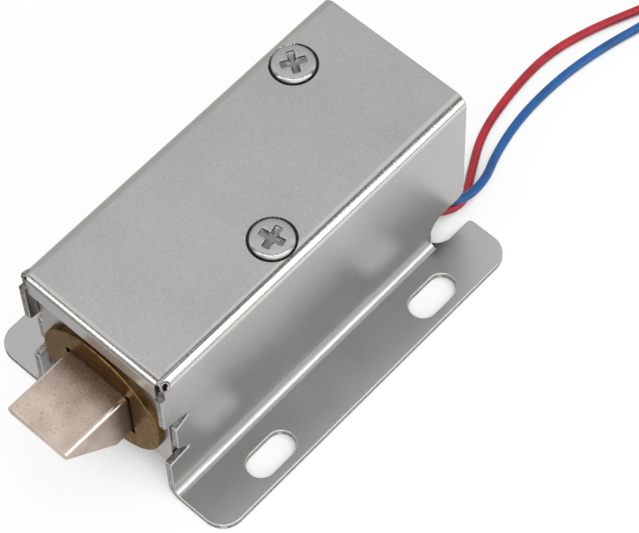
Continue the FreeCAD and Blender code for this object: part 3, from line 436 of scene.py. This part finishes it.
sleeve, tree, shader, place = start_finish("black_shrunk_sleeve", {
    "Base Color": colour_of("#1B1B1C"), "Roughness": 0.45, "IOR": 1.5,
})
crease = add_node(tree, "TexNoise", {"Scale": per_metre(0.8), "Detail": 3.0}, {"Vector": place})
relief = add_node(
    tree, "Bump", {"Strength": 0.4, "Distance": 0.0001}, {"Height": crease.outputs["Fac"]}
)
tree.links.new(relief.outputs["Normal"], shader.inputs["Normal"])
print(nylon.name, copper.name, tape.name, sleeve.name)


# %% Lead insulation, tie and tinned ends
def make_insulation(name, light, dark):
    finish, tree, shader, place = start_finish(name, {
        "Base Color": colour_of(light), "Roughness": 0.34, "IOR": 1.53,
    })
    dye = add_node(tree, "TexNoise", {"Scale": per_metre(3.0), "Detail": 2.0}, {"Vector": place})
    tint = add_node(tree, "ValToRGB", links={"Fac": dye.outputs["Fac"]})
    tint.color_ramp.elements[0].color = colour_of(dark)
    tint.color_ramp.elements[0].position = 0.25
    tint.color_ramp.elements[1].color = colour_of(light)
    tint.color_ramp.elements[1].position = 0.6
    tree.links.new(tint.outputs["Color"], shader.inputs["Base Color"])
    ripple = add_node(tree, "TexNoise", {"Scale": per_metre(0.7)}, {"Vector": place})
    relief = add_node(
        tree, "Bump", {"Strength": 0.12, "Distance": 0.00005}, {"Height": ripple.outputs["Fac"]}
    )
    tree.links.new(relief.outputs["Normal"], shader.inputs["Normal"])
    return finish


red_pvc = make_insulation("extruded_red_pvc", "#C41D30", "#A41628")
blue_pvc = make_insulation("extruded_blue_pvc", "#0B60AA", "#0A4E8C")

tie_nylon, tree, shader, place = start_finish("natural_nylon_tie", {
    "Base Color": colour_of("#E4E1D8"), "Roughness": 0.4, "IOR": 1.53,
    "Subsurface Weight": 0.15, "Subsurface Scale": 0.001,
})
flow = add_node(tree, "TexNoise", {"Scale": per_metre(0.9)}, {"Vector": place})
blur = add_node(tree, "MapRange", {TO_LOW: 0.32, TO_HIGH: 0.5}, {"Value": flow.outputs["Fac"]})
tree.links.new(blur.outputs["Result"], shader.inputs["Roughness"])

tinned, tree, shader, place = start_finish("tinned_copper_strands", {
    "Base Color": colour_of("#BDBBB8"), "Metallic": 1.0, "Roughness": 0.3,
})
solder = add_node(tree, "TexNoise", {"Scale": per_metre(0.4), "Detail": 3.0}, {"Vector": place})
relief = add_node(
    tree, "Bump", {"Strength": 0.5, "Distance": 0.00005}, {"Height": solder.outputs["Fac"]}
)
tree.links.new(relief.outputs["Normal"], shader.inputs["Normal"])
leads["red"].data.materials.append(red_pvc)
leads["blue"].data.materials.append(blue_pvc)
print(red_pvc.name, blue_pvc.name, tie_nylon.name, tinned.name)

# %% [markdown]
# ## Finishes on the solids
# Each measured solid gets the finish of the real piece in its own material slot. The metal
# pieces whose edges catch light are then copied and given fine rounded edges, because a
# sheared or cast edge is never perfectly sharp, and a thin bright line on it is what tells
# the eye that the metal is real.

# %% Finishes on the solids
FINISHES = {
    "case": nickel_sheet, "frame": frame_steel, "pole_plate": frame_steel,
    "front_cover_screw": screw_steel, "rear_cover_screw": screw_steel,
    "guide_bush": brass, "bolt": sintered,
    "plunger": turned_steel, "cross_pin": turned_steel, "core": turned_steel,
    "spring_washer": turned_steel, "guide_tube": brass, "return_spring": spring_steel,
    "bobbin": nylon, "winding": copper, "coil_tape": tape,
    "red_joint_sleeve": sleeve, "blue_joint_sleeve": sleeve,
    "red_lead": red_pvc, "blue_lead": blue_pvc,
    "red_lead_coil": red_pvc, "blue_lead_coil": blue_pvc,
    "red_coil_tie": tie_nylon, "blue_coil_tie": tie_nylon,
    "red_tinned_end": tinned, "blue_tinned_end": tinned,
}
for name, finish in FINISHES.items():
    for slot in frame["nodes"][name].material_slots:
        slot.material = finish
print("finished solids", len(FINISHES))


# %% Choosing edges and faces by a test


def select_only(piece):
    """Make one object the only one selected and the active one."""
    bpy.ops.object.select_all(action="DESELECT")
    piece.select_set(True)
    bpy.context.view_layer.objects.active = piece


def pick(piece, parts, test):
    """In edit mode, select only the faces or edges that pass a test, given in millimetres."""
    bpy.ops.mesh.select_mode(type="FACE" if parts == "polygons" else "EDGE")
    bpy.ops.mesh.select_all(action="DESELECT")
    bpy.ops.object.mode_set(mode="OBJECT")
    corners = piece.data.vertices
    for part in getattr(piece.data, parts):
        places = [corners[number].co / MM for number in part.vertices]
        middle = sum(places, Vector()) / len(places)
        part.select = bool(test(part, middle))
    bpy.ops.object.mode_set(mode="EDIT")


def keep_picked(piece, test):
    """In edit mode, deselect the chosen edges whose middle fails a test, given in millimetres."""
    bpy.ops.object.mode_set(mode="OBJECT")
    corners = piece.data.vertices
    for face in piece.data.polygons:
        face.select = False  # a selected face would bring all its edges back
    for edge in piece.data.edges:
        if edge.select:
            start, end = (corners[number].co / MM for number in edge.vertices)
            edge.select = bool(test((start + end) / 2))
    bpy.ops.object.mode_set(mode="EDIT")


print("tests are given in millimetres")

# %% Fine rounded edges on copies of the solids
MERGE = 0.02  # slivers of the mesh are closed, so that no roll folds over itself
SHARPER_THAN, SMOOTHER_THAN = 28, 38  # degrees: edges that are rolled, and those shaded smooth
SCREW_SPOTS = {"front_cover_screw": (3.3, 7.5), "rear_cover_screw": (-16.6, -7.5)}
RECESS_LOW, RECESS_RIM, RECESS_REACH = 26.0, 27.3, 3.6
SMALL_CORNERS = [  # relief hole, end of the lip's bend and rear end of the foot, right side
    Vector((25.5, 11.2, 26.2)), Vector((23.2, 10.5, 26.4)), Vector((-20.5, 11.1, 1.1)),
]
CORNER_REACH = 2.4


def from_screws(x, y):
    """Distance from the nearer cover screw, in millimetres."""
    return min(math.hypot(x - across, y - along) for across, along in SCREW_SPOTS.values())


def anywhere(middle):
    return True


def off_the_corners(middle):
    """Relief holes, foot corners and screw recesses keep the edge that their punch left."""
    spot = Vector((middle.x, abs(middle.y), middle.z))
    on_recess = middle.z > RECESS_LOW and from_screws(middle.x, middle.y) < RECESS_REACH
    return not on_recess and all((spot - corner).length > CORNER_REACH for corner in SMALL_CORNERS)


def round_edges(name, width_mm, test=anywhere):
    """Copy a solid, join its triangles into faces, and roll its sharp edges over."""
    source = frame["nodes"][name]
    piece = bpy.data.objects.new(f"{name}_rounded", source.data.copy())
    bpy.context.scene.collection.objects.link(piece)
    select_only(piece)
    bpy.ops.object.mode_set(mode="EDIT")
    bpy.ops.mesh.select_mode(type="EDGE")
    bpy.ops.mesh.select_all(action="SELECT")
    bpy.ops.mesh.remove_doubles(threshold=MERGE * MM)
    bpy.ops.mesh.dissolve_limited(angle_limit=math.radians(0.5))
    bpy.ops.mesh.select_all(action="DESELECT")
    bpy.ops.mesh.edges_select_sharp(sharpness=math.radians(SHARPER_THAN))
    keep_picked(piece, test)
    bpy.ops.mesh.bevel(offset=width_mm * MM, segments=3, affect="EDGES")
    bpy.ops.object.mode_set(mode="OBJECT")
    bpy.ops.object.shade_smooth_by_angle(angle=math.radians(SMOOTHER_THAN))
    flat = piece.modifiers.new("flat_faces", "WEIGHTED_NORMAL")
    flat.weight = 100
    flat.keep_sharp = True
    bpy.ops.object.modifier_apply(modifier=flat.name)
    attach(piece, source["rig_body"])
    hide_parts(name)
    return piece


rounded = {
    "case": round_edges("case", 0.2, off_the_corners),
    "frame": round_edges("frame", 0.2),
    "pole_plate": round_edges("pole_plate", 0.15),
    "bolt": round_edges("bolt", 0.18),
    "plunger": round_edges("plunger", 0.12),
    "core": round_edges("core", 0.12),
    "bobbin": round_edges("bobbin", 0.15),
}
print({name: len(piece.data.polygons) for name, piece in rounded.items()})

# %% [markdown]
# ## Polished edges of the bolt
# The powder press rounds the bolt's long edges, and sliding in the bush and on the strike
# polishes them. They are thin faces that slant both sideways and up or down, so a test on
# their normals finds them and they get the polished finish.

# %% Polished edges of the bolt
SLANT = 0.15
OUTSIDE_BUSH = 26.5
bolt = rounded["bolt"]
bolt.data.materials.append(polished_edge)
for face in bolt.data.polygons:
    x, y, z = (abs(part) for part in face.normal)
    if x < 0.1 and min(y, z) > SLANT and face.center.x > OUTSIDE_BUSH * MM:
        face.material_index = 1
print("polished faces", sum(face.material_index == 1 for face in bolt.data.polygons))

# %% [markdown]
# ## Return spring
# The spring is coiled from drawn wire, and stands between the bolt's collar and a washer. When
# the coil pulls the bolt in, its turns close up. A copy of the measured spring, with its
# doubled points merged and smooth shading, takes the measured solid's place on its body.

# %% Return spring
source = frame["nodes"]["return_spring"]
spring = bpy.data.objects.new("return_spring_wire", source.data.copy())
bpy.context.scene.collection.objects.link(spring)
select_only(spring)
bpy.ops.object.mode_set(mode="EDIT")
bpy.ops.mesh.select_all(action="SELECT")
bpy.ops.mesh.remove_doubles(threshold=0.001 * MM)
bpy.ops.object.mode_set(mode="OBJECT")
bpy.ops.object.shade_smooth_by_angle(angle=math.radians(50))
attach(spring, source["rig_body"])
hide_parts("return_spring")
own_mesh(spring)

# %% [markdown]
# ## Sheared edges
# The blank was stamped from strip before it was folded, so the faces across its thickness were
# torn by the punch: they are rough and streaked. Their darker colour is partly the torn face and
# partly painted shade, which stands in for the shade inside the slots and notches. The
# faces are told apart by their place and normal and get a second material slot.

# %% Sheared faces of the case
sheared_and_shaded, tree, shader, place = start_finish("sheared_edge_and_painted_shade", {
    "Base Color": colour_of("#8E8B87"), "Metallic": 1.0, "Roughness": 0.42,
})
tear = add_node(tree, "TexNoise", {"Scale": per_metre(0.35), "Detail": 3.0}, {"Vector": place})
tint = add_node(tree, "ValToRGB", links={"Fac": tear.outputs["Fac"]})
tint.color_ramp.elements[0].position = 0.35
tint.color_ramp.elements[0].color = colour_of("#6C6966")
tint.color_ramp.elements[1].position = 0.65
tint.color_ramp.elements[1].color = colour_of("#A8A5A1")
tree.links.new(tint.outputs["Color"], shader.inputs["Base Color"])
relief = add_node(
    tree, "Bump", {"Strength": 0.5, "Distance": 0.00004}, {"Height": tear.outputs["Fac"]}
)
tree.links.new(relief.outputs["Normal"], shader.inputs["Normal"])


FACING = 0.8  # a face looks along an axis when its normal has at least this share of it
SHEET = 0.8
WALL_INSIDE, WALL_OUTSIDE = 10.8, 11.8
FLANGE_FROM = 13.0


def is_sheared(normal, middle):
    """True for a face across the sheet's thickness: an end, a slot or a notch."""
    x, y, z = middle.x, abs(middle.y), middle.z
    if abs(normal.x) > FACING:
        on_lip = x > 25 and z > 23 and y < WALL_INSIDE
        return not on_lip
    if abs(normal.y) > FACING and z < SHEET:
        return y > FLANGE_FROM
    if abs(normal.z) > FACING and WALL_INSIDE < y < WALL_OUTSIDE:
        return 2 < z < 26
    return False


case = rounded["case"]
# Painted shade: the darker finish on these faces stands in partly for the shade in slots and notches.
case.data.materials.append(sheared_and_shaded)
for face in case.data.polygons:
    if is_sheared(face.normal, face.center / MM):
        face.material_index = 1
print("sheared faces", sum(face.material_index == 1 for face in case.data.polygons))

# %% [markdown]
# ## Burnished bends
# Where the sheet was folded, its outer skin was stretched and then rubbed smooth by the other
# pieces in the plating barrel. So the bends are the glossiest part of the case, and they draw
# the room as crisp lines beside the satin faces.

# %% Bends of the case
burnished, tree, shader, place = start_finish("burnished_nickel_bend", {
    "Base Color": colour_of("#BAB8B4"), "Metallic": 1.0, "Roughness": 0.16,
})
rub = add_node(tree, "TexNoise", {"Scale": per_metre(0.25), "Detail": 3.0}, {"Vector": place})
blur = add_node(tree, "MapRange", {
    FROM_LOW: 0.3, FROM_HIGH: 0.7, TO_LOW: 0.12, TO_HIGH: 0.22,
}, {"Value": rub.outputs["Fac"]})
tree.links.new(blur.outputs["Result"], shader.inputs["Roughness"])
relief = add_node(
    tree, "Bump", {"Strength": 0.3, "Distance": 0.00003}, {"Height": rub.outputs["Fac"]}
)
tree.links.new(relief.outputs["Normal"], shader.inputs["Normal"])


BEND_Y, BEND_Z = 10.0, 25.8  # the line round which the sheet bends, beside the top
BEND_OUTSIDE = 1.6
HAIR = 0.05


def is_bend(normal, middle):
    """True for a slanting face on the outside of the top and lip bends."""
    y = abs(middle.y)
    slanting = max(abs(part) for part in normal) < 0.998
    past_lines = y > BEND_Y - HAIR and middle.z > BEND_Z - HAIR
    on_top = past_lines and math.hypot(y - BEND_Y, middle.z - BEND_Z) > BEND_OUTSIDE
    on_lip = middle.x > 25.1 and middle.z > 26.2 and y < 10.6
    return slanting and (on_top or on_lip)


case.data.materials.append(burnished)
for face in case.data.polygons:
    if face.material_index == 0 and is_bend(face.normal, face.center / MM):
        face.material_index = 2
print("bend faces", sum(face.material_index == 2 for face in case.data.polygons))

# %% [markdown]
# ## Cover screws
# A pan-head machine screw is cold-headed: a blank is upset into a low round head, and a punch
# drives the cross recess into it. Here a cylinder gets its rim rounded with a bevel and its
# top raised with insets. The cross is cut with a tapered punch of two crossed bars round a
# pit, because a straight-sided cross looks cut from card. One screw is modelled and the
# second is its copy.

# %% Sizes of the screw
HEAD_RADIUS, HEAD_HEIGHT, RIM_ROUND = 2.84, 1.1, 0.6
SHANK_RADIUS, SHANK_LENGTH, SHANK_POINT = 1.5, 2.4, 0.3
CROWN_STEPS = ((0.4, 0.03), (0.9, 0.02))  # how far in from the rim, and how much higher
SEAT = 26.9
print("screw head", HEAD_RADIUS * 2, "mm across")

# %% Head and shank
bpy.ops.object.select_all(action="DESELECT")
bpy.ops.mesh.primitive_cylinder_add(
    vertices=72, radius=HEAD_RADIUS * MM, depth=HEAD_HEIGHT * MM,
    location=(0, 0, HEAD_HEIGHT / 2 * MM),
)
screw = bpy.context.active_object
screw.name = "front_screw"
bpy.ops.object.transform_apply(location=True)
bpy.ops.object.mode_set(mode="EDIT")
pick(screw, "edges", lambda part, middle: middle.z > HEAD_HEIGHT - 0.01)
bpy.ops.mesh.bevel(offset=RIM_ROUND * MM, segments=8, affect="EDGES")
pick(screw, "polygons", lambda part, middle: part.normal.z > 0.99 and middle.length < 1.2)
for inwards, higher in CROWN_STEPS:
    bpy.ops.mesh.inset(thickness=inwards * MM, depth=higher * MM)
pick(screw, "polygons", lambda part, middle: part.normal.z < -0.99)
bpy.ops.mesh.inset(thickness=(HEAD_RADIUS - SHANK_RADIUS) * MM)
bpy.ops.mesh.extrude_region_move(
    TRANSFORM_OT_translate={"value": (0, 0, -(SHANK_LENGTH - SHANK_POINT) * MM)}
)
bpy.ops.mesh.extrude_region_move(TRANSFORM_OT_translate={"value": (0, 0, -SHANK_POINT * MM)})
bpy.ops.transform.resize(value=(0.8, 0.8, 1.0))
bpy.ops.object.mode_set(mode="OBJECT")
print("screw faces", len(screw.data.polygons))

# %% Punch for the cross recess
PUNCH_DEPTH = 0.62
BAR_LENGTH, BAR_WIDTH, BAR_HEIGHT, BAR_TIP = 3.4, 1.05, 1.2, 0.35
PIT_LOW, PIT_HIGH = 0.4, 1.6  # radii of the pit's tool at its two ends


def add_bar(turn):
    """One bar of the punch: wide at the top of the head, short and narrow at its end."""
    bpy.ops.object.select_all(action="DESELECT")
    bpy.ops.mesh.primitive_cube_add(size=1.0, location=(0, 0, 0))
    bar = bpy.context.active_object
    bar.scale = (BAR_LENGTH * MM, BAR_WIDTH * MM, BAR_HEIGHT * MM)
    bar.location = (0, 0, (HEAD_HEIGHT + BAR_HEIGHT / 2 - PUNCH_DEPTH + BAR_TIP) * MM)
    bar.rotation_euler = (0, 0, math.radians(turn))
    bpy.ops.object.transform_apply(location=True, rotation=True, scale=True)
    bpy.ops.object.mode_set(mode="EDIT")
    pick(bar, "polygons", lambda part, middle: part.normal.z < -0.99)
    bpy.ops.mesh.extrude_region_move(TRANSFORM_OT_translate={"value": (0, 0, -BAR_TIP * MM)})
    bpy.ops.transform.resize(value=(0.5, 0.45, 1.0))
    pick(bar, "edges", lambda part, middle: math.hypot(middle.x, middle.y) > BAR_LENGTH / 2)
    bpy.ops.mesh.bevel(offset=0.16 * MM, segments=3, affect="EDGES")
    bpy.ops.object.mode_set(mode="OBJECT")
    return bar


bars = [add_bar(0), add_bar(90)]
bpy.ops.object.select_all(action="DESELECT")
bpy.ops.mesh.primitive_cone_add(
    vertices=7, radius1=PIT_LOW * MM, radius2=PIT_HIGH * MM, depth=BAR_HEIGHT * MM,
    location=(0, 0, (HEAD_HEIGHT + 0.08) * MM),
)
pit = bpy.context.active_object
bpy.ops.object.transform_apply(location=True)
print("punch pieces", len(bars) + 1)

# %% Cut the recess and soften its burred edges
for tool in (*bars, pit):
    select_only(screw)
    cut = screw.modifiers.new("punch", "BOOLEAN")
    cut.operation = "DIFFERENCE"
    cut.solver = "EXACT"
    cut.object = tool
    bpy.ops.object.modifier_apply(modifier=cut.name)
    bpy.data.objects.remove(tool)
roll = screw.modifiers.new("burred_edge", "BEVEL")
roll.width = 0.06 * MM
roll.segments = 2
roll.limit_method = "ANGLE"
roll.angle_limit = math.radians(32)
bpy.ops.object.modifier_apply(modifier=roll.name)
bpy.ops.object.shade_smooth_by_angle(angle=math.radians(40))
screw.data.materials.append(screw_steel)
screw.data.materials.append(driven_steel)
RECESS_RADIUS = 1.85
for face in screw.data.polygons:
    x, y, z = face.center / MM
    if math.hypot(x, y) < RECESS_RADIUS and 0.2 < z < HEAD_HEIGHT - 0.02:
        face.material_index = 1
print("screw faces after the punch", len(screw.data.polygons))

# %% Place both screws
rear_screw = bpy.data.objects.new("rear_screw", screw.data.copy())
bpy.context.scene.collection.objects.link(rear_screw)
for piece, node, turn in ((screw, "front_cover_screw", 12.0), (rear_screw, "rear_cover_screw", 59.0)):
    select_only(piece)
    piece.location = Vector((*SCREW_SPOTS[node], SEAT)) * MM
    piece.rotation_euler = (0, 0, math.radians(turn))
    bpy.ops.object.transform_apply(location=True, rotation=True)
    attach(piece, "lock_body")
    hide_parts(node)
print("screws placed")

# %% [markdown]
# ## Burr in each corner relief
# Where three bends meet, a small hole in the blank keeps the sheet from tearing. Folding pulls
# its rim inwards and leaves a raised, torn ring. It is a small torus with the sheared finish,
# pressed out of round and turned to the slope of the corner.

# %% Burrs
BURR_X, BURR_Y, BURR_Z = 25.5, 11.3, 26.6
BURR_RADIUS, BURR_THICKNESS = 0.52, 0.19
burrs = []
for side, label in ((1, "right"), (-1, "left")):
    bpy.ops.object.select_all(action="DESELECT")
    bpy.ops.mesh.primitive_torus_add(
        major_radius=BURR_RADIUS * MM, minor_radius=BURR_THICKNESS * MM,
        major_segments=28, minor_segments=12,
        location=(BURR_X * MM, BURR_Y * side * MM, BURR_Z * MM),
        rotation=(math.radians(-45 * side), 0, 0),
    )
    burr = bpy.context.active_object
    burr.name = f"{label}_relief_burr"
    bpy.ops.object.transform_apply(location=True, rotation=True)
    bpy.ops.object.mode_set(mode="EDIT")
    bpy.ops.mesh.select_all(action="SELECT")
    bpy.ops.transform.vertex_random(offset=0.11 * MM, seed=4)
    bpy.ops.mesh.vertices_smooth(factor=0.4, repeat=2)
    pick(burr, "polygons", lambda part, middle: middle.x > BURR_X)
    bpy.ops.transform.translate(value=(0.05 * MM, 0.06 * side * MM, -0.06 * MM))
    bpy.ops.object.mode_set(mode="OBJECT")
    bpy.ops.object.shade_smooth()
    burr.data.materials.append(sheared_and_shaded)
    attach(burr, "lock_body")
    burrs.append(burr)
print("burrs", [burr.name for burr in burrs])

# %% [markdown]
# ## Painted shade round each screw
# The screws sit in coined recesses, and the gap round each head lies in shade. The faces of the
# recess get a dull dark finish that paints this shade as a dark ring, which keeps the bright rim
# of the head standing out. The small trimmed faces beside the lip get the same painted shade.

# %% Dark recess faces
recess_shade, tree, shader, place = start_finish("painted_shade_on_steel", {
    "Base Color": colour_of("#3A3733"), "Metallic": 0.7, "Roughness": 0.5,
})
shade_mottle = add_node(tree, "TexNoise", {"Scale": per_metre(0.6), "Detail": 4.0}, {"Vector": place})
tint = add_node(tree, "ValToRGB", links={"Fac": shade_mottle.outputs["Fac"]})
tint.color_ramp.elements[0].color = colour_of("#35322F")
tint.color_ramp.elements[1].color = colour_of("#8A8783")
tint.color_ramp.elements[1].position = 0.8
tree.links.new(tint.outputs["Color"], shader.inputs["Base Color"])
# Painted shade: the recess faces and the small trimmed faces take the dark finish.
case.data.materials.append(recess_shade)
for face in case.data.polygons:
    x, y, z = face.center / MM
    in_recess = from_screws(x, y) < 3.2 and RECESS_LOW < z < RECESS_RIM
    on_trim = x > 25.9 and abs(y) > WALL_INSIDE and 24.4 < z < 24.8 and face.normal.z > 0.5
    if in_recess or on_trim:
        face.material_index = 3
print("dark faces", sum(face.material_index == 3 for face in case.data.polygons))

# %% [markdown]
# ## Bench, sky and softbox
# A catalogue photograph is taken in a white tent: light comes from all round, a big soft lamp
# hangs over the front, and darker cards beside the object give its metal something to
# reflect. The floor looks white to the camera but keeps a soft shadow under the lock. Metal
# shows the bench with pools of light and shade on it, by distance to the side, and shows the
# tent as bands, from one side to the other.

# %% Bench
bpy.ops.object.select_all(action="DESELECT")
bpy.ops.mesh.primitive_plane_add(size=4.0, location=(0, 0, -0.00002))
bench = bpy.context.active_object
bench.name = "white_bench"
paper, tree, shader, place = start_finish("matt_white_paper", {
    "Base Color": (0.85, 0.85, 0.85, 1.0), "Roughness": 0.9,
})
reach = add_node(tree, "SeparateXYZ", links={0: place})
# Painted light on the bench: it glows brighter just in front of the lock and dimmer further ahead.
ahead = add_node(tree, "MapRange", {
    FROM_LOW: 0.045, FROM_HIGH: 0.1, TO_LOW: 2.0, TO_HIGH: 0.95,
}, {"Value": reach.outputs["X"]})
POOL_FROM, POOL_WIDE = -20.0, 270.0  # the strip of bench with pools, in millimetres along Y
aside = add_node(tree, "MapRange", {
    FROM_LOW: POOL_FROM * MM, FROM_HIGH: (POOL_FROM + POOL_WIDE) * MM,
}, {"Value": reach.outputs["Y"]})
pool = add_node(tree, "ValToRGB", links={"Fac": aside.outputs["Result"]})
POOL = [
    (-20.0, 0.33), (-13.0, 0.35), (-7.0, 0.5), (0.0, 0.53), (29.0, 0.54), (39.0, 0.66),
    (54.0, 0.95), (66.0, 0.9), (85.0, 0.66), (120.0, 0.5), (240.0, 0.42),
]
while len(pool.color_ramp.elements) < len(POOL):
    pool.color_ramp.elements.new(0.5)
for stop, (distance, level) in zip(pool.color_ramp.elements, POOL):
    stop.position = (distance - POOL_FROM) / POOL_WIDE
    stop.color = (level, level, level, 1.0)
pooled = add_node(tree, "Math", {"operation": "MULTIPLY"}, {
    0: ahead.outputs["Result"], 1: pool.outputs["Color"],
})
path = add_node(tree, "LightPath")
WHITE_TO_CAMERA = 1.06
direct = add_node(tree, "Math", {"operation": "MULTIPLY", 1: WHITE_TO_CAMERA}, {
    0: path.outputs["Is Camera Ray"],
})
lit = add_node(tree, "Math", {"operation": "MAXIMUM"}, {0: direct.outputs[0], 1: pooled.outputs[0]})
# Under and inside the case the bench stays dark, as paper does where no light reaches it.
nook = add_node(tree, "AmbientOcclusion", {"samples": 8, "Distance": 0.025})
reached = add_node(tree, "MapRange", {
    FROM_LOW: 0.12, FROM_HIGH: 0.45,
}, {"Value": nook.outputs["AO"]})
level = add_node(tree, "Math", {"operation": "MULTIPLY"}, {0: lit.outputs[0], 1: reached.outputs[0]})
glow = add_node(tree, "Emission", {"Color": (1, 1, 1, 1)}, {"Strength": level.outputs[0]})
GLOW_SHARE = 0.78
pale = add_node(tree, "MixShader", {0: GLOW_SHARE}, {
    1: shader.outputs["BSDF"], 2: glow.outputs["Emission"],
})
seen = add_node(tree, "Math", {"operation": "MAXIMUM"}, {
    0: path.outputs["Is Camera Ray"], 1: path.outputs["Is Glossy Ray"],
})
seen = add_node(tree, "Math", {"operation": "MAXIMUM"}, {
    0: seen.outputs[0], 1: path.outputs["Is Transmission Ray"],
})
surface = add_node(tree, "MixShader", links={
    0: seen.outputs[0], 1: shader.outputs["BSDF"], 2: pale.outputs["Shader"],
})
output = next(item for item in tree.nodes if item.type == "OUTPUT_MATERIAL")
tree.links.new(surface.outputs["Shader"], output.inputs["Surface"])
bench.data.materials.append(paper)
print(bench.name)

# %% Sky
world = bpy.data.worlds.new("white_tent")
bpy.context.scene.world = world
world.use_nodes = True
tree = world.node_tree
tree.nodes.clear()
path = add_node(tree, "LightPath")
soft = add_node(tree, "Background", {"Color": (1, 1, 1, 1), "Strength": 0.6})
direction = add_node(tree, "TexCoord").outputs["Generated"]
across = add_node(
    tree, "VectorMath", {"operation": "DOT_PRODUCT", 1: (0.7071, 0.7071, 0.0)}, {0: direction}
)
share = add_node(tree, "MapRange", {
    FROM_LOW: -1.0, FROM_HIGH: 1.0,
}, {"Value": across.outputs["Value"]})
bands = add_node(tree, "ValToRGB", links={"Fac": share.outputs["Result"]})
BANDS = [
    (-1.0, 0.13), (-0.65, 0.155), (-0.5, 0.19), (-0.37, 0.225), (-0.22, 0.24), (-0.13, 0.215),
    (-0.06, 0.19), (0.0, 0.09), (0.1, 0.03), (0.18, 0.08), (0.24, 0.18), (0.29, 0.42), (0.31, 0.9),
    (0.375, 0.9), (0.41, 0.38), (0.6, 0.34),
]
while len(bands.color_ramp.elements) < len(BANDS):
    bands.color_ramp.elements.new(0.5)
for stop, (side, level) in zip(bands.color_ramp.elements, BANDS):
    stop.position = (side + 1) / 2
    stop.color = (level, level, level, 1.0)
ahead = add_node(tree, "SeparateXYZ", links={0: direction}).outputs["X"]
card = add_node(tree, "MapRange", {
    FROM_LOW: 0.8, FROM_HIGH: 0.92, TO_LOW: 5.0, TO_HIGH: 2.0,
}, {"Value": ahead})
tent = add_node(tree, "Background", links={
    "Color": bands.outputs["Color"], "Strength": card.outputs["Result"],
})
white = add_node(tree, "Background", {"Color": (1, 1, 1, 1), "Strength": 1.0})
sky = add_node(tree, "MixShader", links={
    0: path.outputs["Is Glossy Ray"], 1: soft.outputs[0], 2: tent.outputs[0],
})
sky = add_node(tree, "MixShader", links={
    0: path.outputs["Is Camera Ray"], 1: sky.outputs["Shader"], 2: white.outputs[0],
})
add_node(tree, "OutputWorld", links={"Surface": sky.outputs["Shader"]})
print(world.name)

# %% Softbox
softbox_light = bpy.data.lights.new("overhead_softbox", "AREA")
softbox_light.shape = "SQUARE"
softbox_light.size = 0.36
softbox_light.energy = 1.0
softbox = bpy.data.objects.new("overhead_softbox", softbox_light)
bpy.context.scene.collection.objects.link(softbox)
softbox.location = (0.09, 0.09, 0.5)
aim = -softbox.location  # at the lock, which stands at the origin
softbox.rotation_euler = aim.to_track_quat("-Z", "Y").to_euler()
softbox.visible_glossy = False  # metal shows the tent's own bright and dark panels instead

# %% View
bpy.context.scene.view_settings.view_transform = "Standard"
print(bpy.context.scene.view_settings.view_transform)

# %% [markdown]
# ## Finish
# The last cell brings the view layer up to date.

# %% Finish
bpy.context.view_layer.update()
